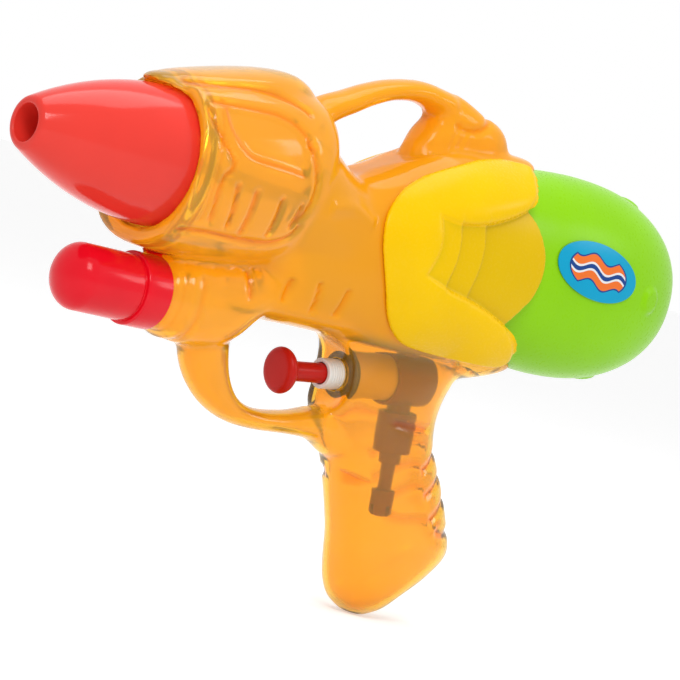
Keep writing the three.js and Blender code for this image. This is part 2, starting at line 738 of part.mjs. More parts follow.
// Filler cap: domed front, straight skirt and a wider collar, hollow with a stop for the washer
const CAP_STOP = -2 * FIT_GAP - WASHER_THICKNESS;
const CAP_BACK = NECK_LENGTH - BODY_WALL - FIT_GAP;
const CAP_FRONT = CAP_BACK - CAP_LENGTH;

function fillerCap() {
  const outline = [[CAP_FRONT, 0]];
  const domeSteps = 6;
  for (let step = 1; step <= domeSteps; step += 1) {
    const angle = (step / domeSteps) * (Math.PI / 2);
    outline.push([CAP_FRONT + CAP_DOME * (1 - Math.cos(angle)), CAP_RADIUS * Math.sin(angle)]);
  }
  const collarFront = CAP_BACK - CAP_COLLAR_LENGTH;
  outline.push([collarFront - CAP_COLLAR_STEP, CAP_RADIUS], [collarFront, CAP_COLLAR_RADIUS]);
  outline.push([CAP_BACK, CAP_COLLAR_RADIUS], [CAP_BACK, CAP_BORE], [CAP_STOP, CAP_BORE]);
  const hollowRadius = CAP_BORE - WASHER_WIDTH;
  outline.push([CAP_STOP, hollowRadius], [CAP_FRONT + CAP_DOME, hollowRadius]);
  outline.push([CAP_FRONT + CAP_WALL, hollowRadius / 2], [CAP_FRONT + CAP_WALL, 0]);
  return turned(outline, 24);
}

addPiece(filler, "filler_cap", fillerCap(), CRIMSON);
addPiece(
  filler,
  "filler_washer",
  ring(CAP_STOP + FIT_GAP, -FIT_GAP, NECK_RADIUS - NECK_WALL, CAP_BORE - FIT_GAP),
  RUBBER
);

// Trigger: a domed button on a rod that carries the piston with the groove of its seal
const PISTON_RADIUS = CYLINDER_BORE - FIT_GAP;
const PISTON_MIDDLE = (PISTON_FRONT + PISTON_BACK) / 2;
const GROOVE_HALF = SEAL_WIRE + FIT_GAP;
const SEAL_MIDDLE_RADIUS = CYLINDER_BORE - SEAL_WIRE - FIT_GAP / 2;
const GROOVE_RADIUS = SEAL_MIDDLE_RADIUS - SEAL_WIRE - FIT_GAP;

function triggerPlunger() {
  const face = -BUTTON_REACH;
  const back = face + BUTTON_THICKNESS;
  const edge = BUTTON_THICKNESS / 4;
  return turned(
    [
      [face, 0],
      [face + 0.2, BUTTON_RADIUS - 2 * edge],
      [face + edge / 2, BUTTON_RADIUS - edge / 2],
      [face + edge * 1.5, BUTTON_RADIUS],
      [back - edge, BUTTON_RADIUS],
      [back, BUTTON_RADIUS - edge],
      [back, ROD_RADIUS + edge],
      [back + edge, ROD_RADIUS],
      [PISTON_FRONT, ROD_RADIUS],
      [PISTON_FRONT, PISTON_RADIUS],
      [PISTON_MIDDLE - GROOVE_HALF, PISTON_RADIUS],
      [PISTON_MIDDLE - GROOVE_HALF, GROOVE_RADIUS],
      [PISTON_MIDDLE + GROOVE_HALF, GROOVE_RADIUS],
      [PISTON_MIDDLE + GROOVE_HALF, PISTON_RADIUS],
      [PISTON_BACK, PISTON_RADIUS],
      [PISTON_BACK, 0],
    ],
    24
  );
}

addPiece(pump, "trigger_plunger", triggerPlunger(), TRIGGER_RED);

function sealRing(place, radius, wire) {
  const outline = Array.from({ length: 8 }, (_, side) => {
    const angle = (2 * Math.PI * (side + 0.5)) / 8;
    return [place + wire * Math.cos(angle), radius + wire * Math.sin(angle)];
  });
  return turned(outline, 24);
}

addPiece(pump, "piston_seal", sealRing(PISTON_MIDDLE, SEAL_MIDDLE_RADIUS, SEAL_WIRE), RUBBER);

// Pump barrel: the sleeve that shows in front of the grip, and the cylinder behind the body's wall
addPiece(
  pump,
  "pump_barrel",
  turned(
    [
      [0, SLEEVE_BORE],
      [0, SLEEVE_RADIUS],
      [SLEEVE_LENGTH, SLEEVE_RADIUS],
      [SLEEVE_LENGTH, CYLINDER_RADIUS],
      [CYLINDER_BACK, CYLINDER_RADIUS],
      [CYLINDER_BACK, CYLINDER_BORE],
      [SLEEVE_LENGTH + BODY_WALL, CYLINDER_BORE],
      [SLEEVE_LENGTH + BODY_WALL, SLEEVE_BORE],
    ],
    24
  ),
  WHITE
);
addPiece(
  pump,
  "pump_gasket",
  ring(
    SLEEVE_STEP + FIT_GAP,
    SLEEVE_LENGTH - FIT_GAP,
    SLEEVE_RADIUS + FIT_GAP,
    PORT_BOSS_RADIUS - BODY_WALL - FIT_GAP
  ),
  RUBBER
);

// Valve block: a cup over the cylinder's end, the pressure chamber, and a spigot up and one down
const BLOCK_FRONT = CYLINDER_BACK - BLOCK_SOCKET;
const CHAMBER_RADIUS = CYLINDER_BORE - 2 * FIT_GAP;

function valveBlock() {
  const body = disc(BLOCK_FRONT, BLOCK_FRONT + BLOCK_LENGTH, BLOCK_RADIUS, 24);
  const spigots = upright(disc(-SPIGOT_END, SPIGOT_END, VALVE_SPIGOT_RADIUS));
  const socket = disc(BLOCK_FRONT - CUT_PAST, CHAMBER_FRONT, CYLINDER_RADIUS + FIT_GAP, 24);
  const chamber = disc(CHAMBER_FRONT - CUT_PAST, CHAMBER_BACK, CHAMBER_RADIUS, 24);
  const portEnd = SPIGOT_END + CUT_PAST;
  const ports = upright(disc(-portEnd, portEnd, VALVE_PORT_RADIUS, 12));
  return joined([body, moved(spigots, VALVE_X, 0, 0)])
    .subtract(joined([socket, chamber]))
    .subtract(solid(moved(ports, VALVE_X, 0, 0)));
}

addPiece(pump, "valve_block", geometryOf(valveBlock()), DARK);

// Return spring: one wire wound between the piston and the chamber's end wall
const SPRING_FRONT = PISTON_BACK + FIT_GAP + SPRING_WIRE / 2;
const SPRING_BACK = CHAMBER_BACK - FIT_GAP - SPRING_WIRE / 2;
const SPRING_RADIUS = CHAMBER_RADIUS - SPRING_CLEARANCE - SPRING_WIRE / 2;

function returnSpring() {
  const steps = SPRING_TURNS * 8;
  const sides = 5;
  const path = Array.from({ length: steps + 1 }, (_, step) => {
    const angle = (2 * Math.PI * step) / 8;
    const x = SPRING_FRONT + ((SPRING_BACK - SPRING_FRONT) * step) / steps;
    return new THREE.Vector3(x, SPRING_RADIUS * Math.cos(angle), SPRING_RADIUS * Math.sin(angle));
  });
  const rings = path.map((point) => {
    const out = new THREE.Vector3(0, point.y, point.z).normalize();
    return Array.from({ length: sides }, (_, side) => {
      const angle = (2 * Math.PI * side) / sides;
      const reach = (SPRING_WIRE / 2) * Math.cos(angle);
      return point
        .clone()
        .addScaledVector(out, reach)
        .add(new THREE.Vector3((SPRING_WIRE / 2) * Math.sin(angle), 0, 0));
    });
  });
  let least = Infinity;
  path.forEach((point, step) => {
    path.slice(step + 6).forEach((other) => {
      least = Math.min(least, point.distanceTo(other) - SPRING_WIRE);
    });
  });
  console.log(`return spring, least gap between turns: ${least.toFixed(2)} mm`);
  return loft(rings);
}

addPiece(pump, "return_spring", returnSpring(), STEEL);

// Check valves: pieces turned upright about the valve axis, each built from its spigot outwards
const HOUSING_BORE = VALVE_SPIGOT_RADIUS + FIT_GAP;
const BALL_ROOM = BALL_RADIUS + BALL_CLEARANCE;
const SEAT_DEPTH = Math.sqrt(BALL_RADIUS ** 2 - VALVE_PORT_RADIUS ** 2);

// Inlet valve, below the block: the ball rests on a seat at the bottom and lifts towards the spigot
const INLET_ROOM_BOTTOM = -(SPIGOT_END + FIT_GAP + 2 * BALL_RADIUS + 2 * BALL_LIFT);
const INLET_BODY_BOTTOM = INLET_ROOM_BOTTOM - VALVE_HOUSING_WALL;
const TUBE_SOCKET_RADIUS = TUBE_RADIUS + FIT_GAP;
const INLET_BOTTOM = INLET_BODY_BOTTOM - TUBE_SOCKET_DEPTH;

addPiece(
  pump,
  "inlet_valve",
  moved(
    upright(
      turned([
        [INLET_BOTTOM, TUBE_SOCKET_RADIUS],
        [INLET_BOTTOM, TUBE_SOCKET_RADIUS + TUBE_WALL],
        [INLET_BODY_BOTTOM, TUBE_SOCKET_RADIUS + TUBE_WALL],
        [INLET_BODY_BOTTOM, VALVE_HOUSING_RADIUS],
        [-HOUSING_FOOT, VALVE_HOUSING_RADIUS],
        [-HOUSING_FOOT, HOUSING_BORE],
        [-SPIGOT_END - FIT_GAP, HOUSING_BORE],
        [-SPIGOT_END - FIT_GAP, BALL_ROOM],
        [INLET_ROOM_BOTTOM, BALL_ROOM],
        [INLET_ROOM_BOTTOM, VALVE_PORT_RADIUS],
        [INLET_BODY_BOTTOM, VALVE_PORT_RADIUS],
        [INLET_BODY_BOTTOM, TUBE_SOCKET_RADIUS],
      ])
    ),
    VALVE_X,
    0,
    0
  ),
  DARK
);

const ball = () => withoutSeams(new THREE.SphereGeometry(BALL_RADIUS, 14, 10));
addPiece(pump, "inlet_ball", moved(ball(), VALVE_X, 0, INLET_ROOM_BOTTOM + SEAT_DEPTH + FIT_GAP), STEEL);

// Suction tube and its strainer, in line below the inlet valve
const TUBE_TOP = INLET_BODY_BOTTOM - FIT_GAP;
const TUBE_BOTTOM = TUBE_TOP - TUBE_LENGTH;
addPiece(
  pump,
  "suction_tube",
  moved(upright(ring(TUBE_BOTTOM, TUBE_TOP, TUBE_RADIUS - TUBE_WALL, TUBE_RADIUS, 12)), VALVE_X, 0, 0),
  DARK
);

function strainer() {
  const top = TUBE_BOTTOM + TUBE_SOCKET_DEPTH;
  const bottom = top - STRAINER_LENGTH;
  const stop = TUBE_BOTTOM - FIT_GAP;
  const cup = turned([
    [bottom, 0],
    [bottom, STRAINER_RADIUS - 1],
    [bottom + 1, STRAINER_RADIUS],
    [top, STRAINER_RADIUS],
    [top, TUBE_SOCKET_RADIUS],
    [stop, TUBE_SOCKET_RADIUS],
    [stop, TUBE_RADIUS - TUBE_WALL],
    [bottom + TUBE_WALL, TUBE_RADIUS - TUBE_WALL],
    [bottom + TUBE_WALL, 0],
  ]);
  const slotHeight = 2 * (stop - bottom) - 2 * TUBE_WALL;
  const slots = [0, Math.PI / 2].map((turn) => {
    const slot = new THREE.BoxGeometry(3 * STRAINER_RADIUS, STRAINER_SLOT, slotHeight).rotateZ(turn);
    return moved(withoutSeams(slot), 0, 0, bottom);
  });
  const cut = solid(upright(cup)).subtract(joined(slots));
  return moved(geometryOf(cut), VALVE_X, 0, 0);
}

addPiece(pump, "suction_strainer", strainer(), DARK);

// Outlet valve, above the block: the ball rests on the spigot's bore, and a nipple carries the hose
const OUTLET_ROOM_TOP = SPIGOT_END + SEAT_DEPTH + FIT_GAP + BALL_RADIUS + 2 * BALL_LIFT;
const OUTLET_BODY_TOP = OUTLET_ROOM_TOP + VALVE_HOUSING_WALL;

addPiece(
  pump,
  "outlet_valve",
  moved(
    upright(
      turned([
        [HOUSING_FOOT, HOUSING_BORE],
        [HOUSING_FOOT, VALVE_HOUSING_RADIUS],
        [OUTLET_BODY_TOP, VALVE_HOUSING_RADIUS],
        [OUTLET_BODY_TOP, NIPPLE_RADIUS],
        [OUTLET_BODY_TOP + NIPPLE_LENGTH, NIPPLE_RADIUS],
        [OUTLET_BODY_TOP + NIPPLE_LENGTH, JET_BORE_RADIUS],
        [OUTLET_ROOM_TOP, JET_BORE_RADIUS],
        [OUTLET_ROOM_TOP, BALL_ROOM],
        [SPIGOT_END + FIT_GAP, BALL_ROOM],
        [SPIGOT_END + FIT_GAP, HOUSING_BORE],
      ])
    ),
    VALVE_X,
    0,
    0
  ),
  DARK
);
addPiece(pump, "outlet_ball", moved(ball(), VALVE_X, 0, SPIGOT_END + SEAT_DEPTH + FIT_GAP), STEEL);

// Outlet hose: up from the outlet valve, forward through the waist and straight on to the jet nozzle
function outletHose() {
  const start = pumpPoint(VALVE_X, OUTLET_BODY_TOP + FIT_GAP);
  const end = new THREE.Vector3(NOSE_BASE_X + JET_FLANGE_BACK + FIT_GAP, 0, NOSE_Z);
  const route = new THREE.CatmullRomCurve3([
    start,
    pumpPoint(VALVE_X, OUTLET_BODY_TOP + NIPPLE_LENGTH + 1),
    new THREE.Vector3(171, 0, -9),
    new THREE.Vector3(150, 0, -7),
    new THREE.Vector3(110, 0, -4),
    new THREE.Vector3(70, 0, -1),
    end.clone().add(new THREE.Vector3(NIPPLE_LENGTH + 4, 0, 0)),
    end,
  ]);
  const section = new THREE.Shape().absarc(0, 0, HOSE_RADIUS, 0, 2 * Math.PI);
  section.holes.push(new THREE.Path().absarc(0, 0, HOSE_RADIUS - HOSE_WALL, 0, 2 * Math.PI));
  const geometry = new THREE.ExtrudeGeometry(section, { steps: 22, curveSegments: 4, extrudePath: route });
  return withoutSeams(geometry);
}

addPiece(assembly, "outlet_hose", outletHose(), CLEAR_HOSE);

// Tank: outer form with its neck and nubs, hollowed through the neck
function tankShell() {
  const neckFront = TANK_FRONT_X - TANK_NECK_LENGTH;
  const neckBore = TANK_NECK_RADIUS - TANK_WALL;
  const neckRod = moved(
    disc(neckFront, TANK_FRONT_X + CUT_PAST, TANK_NECK_RADIUS, ROUND_SIDES),
    0,
    0,
    TANK_MIDDLE_Z
  );
  const bore = moved(
    disc(neckFront - CUT_PAST, TANK_FRONT_X + 2 * TANK_WALL, neckBore, ROUND_SIDES),
    0,
    0,
    TANK_MIDDLE_Z
  );
  const [, nubUp, nubAcross] = stationAt(TANK_STATIONS, NUB_PLACE);
  const nubs = [0, 1, 2, 3].map((quarter) => {
    const angle = (quarter * Math.PI) / 2;
    const y = (nubAcross + NUB_HEIGHT - NUB_RADIUS) * Math.cos(angle);
    const z = (nubUp + NUB_HEIGHT - NUB_RADIUS) * Math.sin(angle);
    const nub = withoutSeams(new THREE.SphereGeometry(NUB_RADIUS, 10, 8));
    return moved(nub, TANK_FRONT_X + NUB_PLACE, y, TANK_MIDDLE_Z + z);
  });
  const hollow = tankEnvelope(-TANK_WALL, TANK_WALL, TANK_WALL, CAVITY_SIDES);
  return joined([tankEnvelope(0), neckRod, ...nubs]).subtract(joined([hollow, bore]));
}

addPiece(assembly, "tank_shell", geometryOf(tankShell()), GREEN);
addPiece(
  assembly,
  "tank_seal",
  moved(
    ring(
      BODY_REAR_X - TANK_SEAL_THICKNESS,
      BODY_REAR_X,
      TANK_PORT_RADIUS,
      TANK_PORT_RADIUS + TANK_SEAL_WIDTH,
      ROUND_SIDES
    ),
    0,
    0,
    TANK_MIDDLE_Z
  ),
  RUBBER
);

const PLATE_REACH = 60;

// Upright plate cut from an outline of [x, z], from the middle plane out to the left
function leftPlate(shape, curveSegments = 3) {
  const depth = PLATE_REACH;
  const geometry = new THREE.ExtrudeGeometry(shape, { depth, bevelEnabled: false, curveSegments });
  return withoutSeams(geometry.rotateX(Math.PI / 2));
}

// Label: a thin oval that follows the tank's left side
function tankLabel() {
  const oval = new THREE.Shape();
  const x = TANK_FRONT_X + LABEL_PLACE;
  oval.absellipse(x, LABEL_Z, LABEL_HALF_LENGTH, LABEL_HALF_HEIGHT, 0, 2 * Math.PI, false, LABEL_TILT);
  const skin = solid(tankEnvelope(FIT_GAP + LABEL_THICKNESS)).subtract(solid(tankEnvelope(FIT_GAP)));
  return skin.intersect(solid(leftPlate(oval, 10)));
}

addPiece(assembly, "tank_label", geometryOf(tankLabel()), BLUE);

// Side covers: a plate with two wings, and between the wings a fan that steps down to the rear
const points = (pairs, x0) => pairs.map(([x, z]) => new THREE.Vector2(x0 + x, z));
const rearPoints = (pairs) => points(pairs, SIDE_REAR_X);

function coverOutline() {
  const shape = new THREE.Shape();
  const frontEdge = [[-67.5, -27.5], [-75.5, -9], [-74.5, 1], [-67.5, 10.5], [-55, 18.6], [-37, 24.6]];
  const upperTip = [[-14, 26.2], [-11, 22.5], [-12.5, 18], [-16.5, 12.3]];
  const fanEdge = [[-11, 8], [-6, 0.5], [-4.3, -7], [-6, -15], [-10, -21], [-14.5, -27]];
  const lowerTip = [[-8.5, -31.5], [-5.4, -36], [-7, -40.5], [-13, -41.8]];
  shape.moveTo(SIDE_REAR_X - 54, -41.5);
  shape.splineThru(rearPoints([...frontEdge, [-22, 26.6]]));
  [upperTip, fanEdge, lowerTip].forEach((edge) => shape.splineThru(rearPoints(edge)));
  shape.closePath();
  return shape;
}

const FAN_PAST = 18;

function fanOutline() {
  const shape = new THREE.Shape();
  const front = [[-54.4, -7], [-55.8, 2.6]];
  const upperWing = [[-47.7, 1.9], [-35, 4.1], [-24.3, 8.2], [-16.5, 12.3]];
  const lowerWing = [[-31, -22.2], [-45.5, -19.8], [-57.3, -16.9]];
  shape.moveTo(SIDE_REAR_X - 57.3, -16.9);
  [front, upperWing].forEach((edge) => shape.splineThru(rearPoints(edge)));
  [[FAN_PAST, 12.3], [FAN_PAST, -27], [-14.5, -27]].forEach(([x, z]) => shape.lineTo(SIDE_REAR_X + x, z));
  shape.splineThru(rearPoints(lowerWing));
  return shape;
}

const STEP_BLOCK_LENGTH = 40;

// Block that keeps what lies in front of an arc that bulges to the rear
function stepBlock(place) {
  const shape = new THREE.Shape();
  const arcX = SIDE_REAR_X + place;
  const arc = [[-9, -60], [-2.4, -22], [0, -7.6], [-1.8, 6], [-8, 40]];
  const frontX = arcX - STEP_BLOCK_LENGTH;
  shape.moveTo(frontX, -60);
  shape.lineTo(arcX - 9, -60);
  shape.splineThru(points(arc.slice(1), arcX));
  shape.lineTo(frontX, 40);
  shape.closePath();
  return leftPlate(shape);
}

// Side form swollen to a cover's height, which it reaches some way behind the cover's thin front edge
function coverForm(height) {
  const risePlace = MIDDLE_LENGTH + COVER_RISE_PLACE;
  const stations = MIDDLE_STATIONS.map(([place, top, bottom, halfWidth]) => {
    const share = THREE.MathUtils.smoothstep(place, risePlace, risePlace + COVER_RISE_LENGTH);
    const swell = COVER_EDGE_HEIGHT + (height - COVER_EDGE_HEIGHT) * share;
    return [place, top + swell, bottom - swell, halfWidth + swell];
  });
  return solid(alongX(stations, MIDDLE_FRONT_X));
}

function coverLeft() {
  const plate = solid(leftPlate(coverOutline()));
  const fan = solid(leftPlate(fanOutline()));
  let whole = plate.subtract(fan).intersect(coverForm(COVER_WING_HEIGHT));
  COVER_STEP_HEIGHTS.forEach((height, step) => {
    const block = solid(stepBlock(COVER_STEP_PLACES[step]));
    whole = whole.add(plate.intersect(block).intersect(coverForm(height)));
  });
  whole = whole.add(plate.intersect(coverForm(COVER_PLATE_HEIGHT)));
  const inset = -FIT_GAP;
  const neighbours = joined([
    alongX(MIDDLE_STATIONS, MIDDLE_FRONT_X, { inset, rear: TANK_OVERLAP - 2 * FIT_GAP }),
    alongX(FIN_STATIONS, SIDE_REAR_X, { inset, sides: FORM_SIDES }),
    alongX(TAIL_STATIONS, SIDE_REAR_X, { inset, sides: FORM_SIDES }),
    alongX(TONGUE_STATIONS, SIDE_REAR_X, { inset, sides: FORM_SIDES }),
    downward(GRIP_STATIONS, GRIP_TOP_Z, { inset }),
    tankEnvelope(FIT_GAP),
  ]);
  return geometryOf(whole.subtract(neighbours));
}

const left = coverLeft();
addPiece(assembly, "cover_left", left, YELLOW);
addPiece(assembly, "cover_right", facingOut(left.clone().scale(1, -1, 1)), YELLOW);

export default squirter;
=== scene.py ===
from math import acos, atan2, cos, pi, radians, sin
import bpy
import numpy as np
from mathutils import Matrix, Vector


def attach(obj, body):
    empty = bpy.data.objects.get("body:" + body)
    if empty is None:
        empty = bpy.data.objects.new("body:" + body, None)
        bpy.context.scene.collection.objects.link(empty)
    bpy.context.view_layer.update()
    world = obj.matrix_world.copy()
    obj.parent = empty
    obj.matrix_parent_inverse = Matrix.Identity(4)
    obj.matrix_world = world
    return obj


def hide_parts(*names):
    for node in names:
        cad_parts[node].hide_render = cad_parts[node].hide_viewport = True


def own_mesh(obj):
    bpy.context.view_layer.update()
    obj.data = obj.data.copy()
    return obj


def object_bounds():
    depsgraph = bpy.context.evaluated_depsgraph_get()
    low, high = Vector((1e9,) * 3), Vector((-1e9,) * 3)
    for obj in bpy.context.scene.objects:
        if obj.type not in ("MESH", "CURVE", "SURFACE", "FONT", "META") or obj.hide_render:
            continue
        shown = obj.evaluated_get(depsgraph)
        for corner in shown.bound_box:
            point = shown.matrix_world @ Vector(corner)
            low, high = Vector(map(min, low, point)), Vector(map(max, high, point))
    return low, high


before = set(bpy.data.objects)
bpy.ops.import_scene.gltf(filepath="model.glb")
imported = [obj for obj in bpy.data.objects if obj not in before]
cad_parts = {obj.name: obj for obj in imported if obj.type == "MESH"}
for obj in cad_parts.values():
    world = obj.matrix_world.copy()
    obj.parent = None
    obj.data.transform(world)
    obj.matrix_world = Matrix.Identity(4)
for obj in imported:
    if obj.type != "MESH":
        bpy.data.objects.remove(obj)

cad_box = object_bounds()

# Body shell: one hollow blow-moulded bottle of clear orange plastic with drum, hood, waist, lower barrel,
# grip, trigger guard and carrying loop in one piece. Its forms are shaped from section tables in
# millimetres, melted together into one skin, pressed with the mould's creases, and given a wall.
tip_reach = 188
axis_height = 98
tip_shift = np.array([tip_reach, 0, -axis_height])


def from_tip(x, y, z):
    """A place measured in millimetres from the nose's tip on the drum's axis, in the frame's metres."""
    return Vector(((x - tip_reach) / 1000, y / 1000, (z + axis_height) / 1000))


def alone(piece):
    """Make a piece the only one selected."""
    bpy.ops.object.select_all(action="DESELECT")
    piece.select_set(True)
    bpy.context.view_layer.objects.active = piece


def placed(piece, place):
    """Set a piece that is drawn about the origin at its place in the frame."""
    alone(piece)
    piece.matrix_world = place
    bpy.ops.object.transform_apply(location=True, rotation=True, scale=True)
    return piece


def added(name, add, **values):
    """A new mesh of one of the basic shapes, with its name."""
    bpy.ops.object.select_all(action="DESELECT")
    add(**values)
    piece = bpy.context.object
    piece.name = name
    return piece


def edited(piece, step, **values):
    """Run one edit on the whole of a mesh."""
    alone(piece)
    bpy.ops.object.mode_set(mode="EDIT")
    bpy.ops.mesh.select_all(action="SELECT")
    step(**values)
    bpy.ops.object.mode_set(mode="OBJECT")
    return piece


def outward(piece, merge=False):
    """Turn a mesh's faces outwards, after its doubled points are merged where asked."""
    if merge:
        edited(piece, bpy.ops.mesh.remove_doubles, threshold=0.000001)
    return edited(piece, bpy.ops.mesh.normals_make_consistent, inside=False)


def section_at(table, place):
    """Values of a section table at any place along it, on smooth cubics through its rows."""
    row = 0
    while row < len(table) - 2 and place > table[row + 1][0]:
        row += 1

    def slope(index, field):
        before = table[max(index - 1, 0)]
        after = table[min(index + 1, len(table) - 1)]
        return (after[field] - before[field]) / (after[0] - before[0])

    start, end = table[row], table[row + 1]
    span = end[0] - start[0]
    t = (place - start[0]) / span
    rise = 3 * t ** 2 - 2 * t ** 3
    values = []
    for field in range(1, len(start)):
        bend = slope(row, field) * t * (1 - t) ** 2 - slope(row + 1, field) * t ** 2 * (1 - t)
        values.append(start[field] + (end[field] - start[field]) * rise + span * bend)
    return values


def oval(angle, power):
    """Point of an oval with half sizes of one, round at power 2 and squarer above it, or its middle."""
    if angle is None:
        return 0, 0
    return [np.sign(side) * abs(side) ** (2 / power) for side in (cos(angle), sin(angle))]


def shaped_ball(name, rings, sides, point):
    """A ball whose rings are laid along a form: point(share, angle) gives the skin, angle None the middle."""
    piece = added(name, bpy.ops.mesh.primitive_uv_sphere_add, segments=sides, ring_count=rings, radius=1)
    for vertex in piece.data.vertices:
        x, y, z = vertex.co
        ring = round(acos(max(-1, min(1, z))) / pi * rings)
        share = min(max((ring - 1) / (rings - 2), 0), 1)
        angle = None if ring in (0, rings) else atan2(y, x)
        vertex.co = point(share, angle)
    return outward(piece)


def form_along(name, table, start_x, power=2.4, swell=0, rings=60, sides=56):
    """A form along X through rows of place, top, bottom and half width."""

    def point(share, angle):
        place = table[0][0] + share * (table[-1][0] - table[0][0])
        top, bottom, half_width = section_at(table, place)
        middle = (top + bottom) / 2
        across, up = oval(angle, power)
        high = (top - bottom) / 2 + swell
        return from_tip(start_x + place, (half_width + swell) * across, middle + high * up)

    return shaped_ball(name, rings, sides, point)


def form_down(name, table, top_z, power=2.4, rings=70, sides=56):
    """A form down from a height through rows of place, front, back and half width."""

    def point(share, angle):
        place = table[0][0] + share * (table[-1][0] - table[0][0])
        front, back, half_width = section_at(table, place)
        middle = (front + back) / 2
        along, across = oval(angle, power)
        return from_tip(middle + (back - front) / 2 * along, half_width * across, top_z - place)

    return shaped_ball(name, rings, sides, point)


def form_bar(name, table, rings=70, sides=40):
    """A round bar in the middle plane through rows of x, z, half depth and half thickness."""
    rows = [[index, *row] for index, row in enumerate(table)]

    def point(share, angle):
        place = share * (len(rows) - 1)
        x, z, depth, thickness = section_at(rows, place)
        up, across = oval(angle, 2)
        ahead = section_at(rows, min(place + 0.01, len(rows) - 1))
        behind = section_at(rows, max(place - 0.01, 0))
        run = Vector((ahead[0] - behind[0], ahead[1] - behind[1])).normalized()
        return from_tip(x - run.y * depth * up, thickness * across, z + run.x * depth * up)

    return shaped_ball(name, rings, sides, point)


def joined(name, pieces):
    """Several meshes as one object."""
    alone(pieces[0])
    for piece in pieces:
        piece.select_set(True)
    bpy.ops.object.join()
    pieces[0].name = name
    return pieces[0]


def finished(piece, kind, **values):
    """Add one modifier with the values given and apply it."""
    alone(piece)
    modifier = piece.modifiers.new(kind.lower(), kind)
    for key, value in values.items():
        setattr(modifier, key, value)
    bpy.ops.object.modifier_apply(modifier=modifier.name)


def smoothed(piece, times, factor=0.5):
    """Smooth a mesh a number of times."""
    finished(piece, "SMOOTH", factor=factor, iterations=times)


def remeshed(piece, voxel):
    """Melt all of a mesh's shells into one skin of even faces, with the voxel's size in metres."""
    finished(piece, "REMESH", mode="VOXEL", voxel_size=voxel)


def cut(piece, cutter, operation="DIFFERENCE"):
    """Take a cutter out of a piece, add it, or keep only what both share, and delete the cutter."""
    finished(piece, "BOOLEAN", operation=operation, object=cutter, solver="MANIFOLD")
    bpy.data.objects.remove(cutter)


def disc(name, x0, x1, radius, place, sides=96):
    """A rod along a frame's X between two places in millimetres."""
    piece = added(
        name,
        bpy.ops.mesh.primitive_cylinder_add,
        vertices=sides,
        radius=radius / 1000,
        depth=(x1 - x0) / 1000,
        location=((x0 + x1) / 2000, 0, 0),
        rotation=(0, pi / 2, 0),
    )
    bpy.ops.object.transform_apply(location=True, rotation=True, scale=True)
    return placed(piece, place)


drum_front = 50.5
drum_table = [
    [0, 25, -29.6, 26.6], [6, 26.4, -30.7, 27.2], [19.5, 28.6, -31, 27.7], [35.5, 30.8, -29.8, 27.5],
    [48.5, 31.6, -27, 26.6], [56.5, 30, -22.5, 24], [62, 26, -15.5, 19], [65.5, 19, -7, 11],
]
hood_table = [
    [-8.5, 23.2, 21.5, 2.5], [-6.5, 24.3, 19.5, 5.5], [-3, 25.4, 17, 9], [3, 27.2, 15, 12.5],
    [12, 29.6, 15, 15], [26, 33, 15, 15.5], [38, 35.2, 15, 14.5], [47, 35.6, 15, 12.5],
    [53.5, 33.6, 17, 10], [58, 30.4, 19, 7], [61, 26.5, 20, 4],
]
shoulder_front = 90
shoulder_table = [
    [0, 27, -26, 25.3], [8, 26.5, -27, 25.2], [16, 23.2, -28, 24.4], [24, 19, -30, 23.2],
    [32, 14, -33, 22], [40, 10.2, -36, 21.2], [48, 8.5, -38, 20.8],
]
middle_front = 98
side_table = [
    [0, 4, -30, 18], [12, 6, -42.5, 20.5], [24, 9, -44.3, 21], [36, 10.8, -44.5, 21.5],
    [48, 15.6, -46, 22.5], [59.3, 21.6, -49, 23.8], [70, 26, -49, 24.8], [87, 27.6, -47.5, 25.8],
    [102, 28, -45, 26], [114, 27.6, -42, 25.5],
]
body_rear = 196
rear_place = body_rear - middle_front
middle_table = side_table[:-2] + [[rear_place, *section_at(side_table, rear_place)]]
barrel_front = 65
barrel_table = [
    [0, -34, -53, 9.6], [3, -31.5, -55.5, 12], [9, -29, -57.5, 14.5], [19, -27, -58, 15.5],
    [26, -26, -57.2, 15.8], [31, -25.5, -54, 16], [35, -25, -49, 16], [39, -24, -45.4, 16.2],
    [48, -24, -44.6, 16.4], [75, -22, -44.5, 17],
]
side_rear = 212
tail_table = [
    [-20, -32, -51.5, 14], [-8, -34, -49, 13], [4, -35, -45.6, 11],
    [11, -36, -43, 7.5], [14, -37, -41.4, 4],
]
fin_table = [
    [-48.5, 41.5, 30, 4.5], [-46, 43.6, 20, 6.8], [-40, 44.2, 18, 7.8], [-33, 42.2, 18, 8.4],
    [-27, 40, 18, 8.6], [-22, 39, 18, 8.2], [-18, 37.4, 18, 7.2], [-14.5, 34.4, 18, 5.6],
    [-12.2, 29, 20, 3.5],
]
foot_table = [
    [-55.5, 24.5, 20, 3], [-53, 28.4, 18, 5.5], [-50.5, 32.6, 18, 7], [-47, 36, 18, 7.8], [-42, 38, 18, 8],
]
tongue_table = [
    [-30, 28.4, 20, 10], [-16, 29.6, 20, 10], [-6, 29.8, 20, 9], [-1, 29.2, 21, 7], [1, 27.8, 23, 4],
]
grip_top = -38
grip_table = [
    [0, 139.5, 203, 14.5], [6, 142.8, 201.5, 15], [12, 145, 200, 15.5], [20, 146, 197, 15.5],
    [28, 145.5, 196.5, 15.2], [36, 150.5, 198.4, 15], [44, 156, 203.8, 14.8], [54, 161.5, 210, 15],
    [64, 166, 215, 15.2], [71, 168.8, 217, 15.2], [80, 171.4, 209.5, 14.8], [88, 174, 200, 13],
    [94, 177.6, 193.5, 9.5], [97.3, 182.5, 188.5, 4],
]
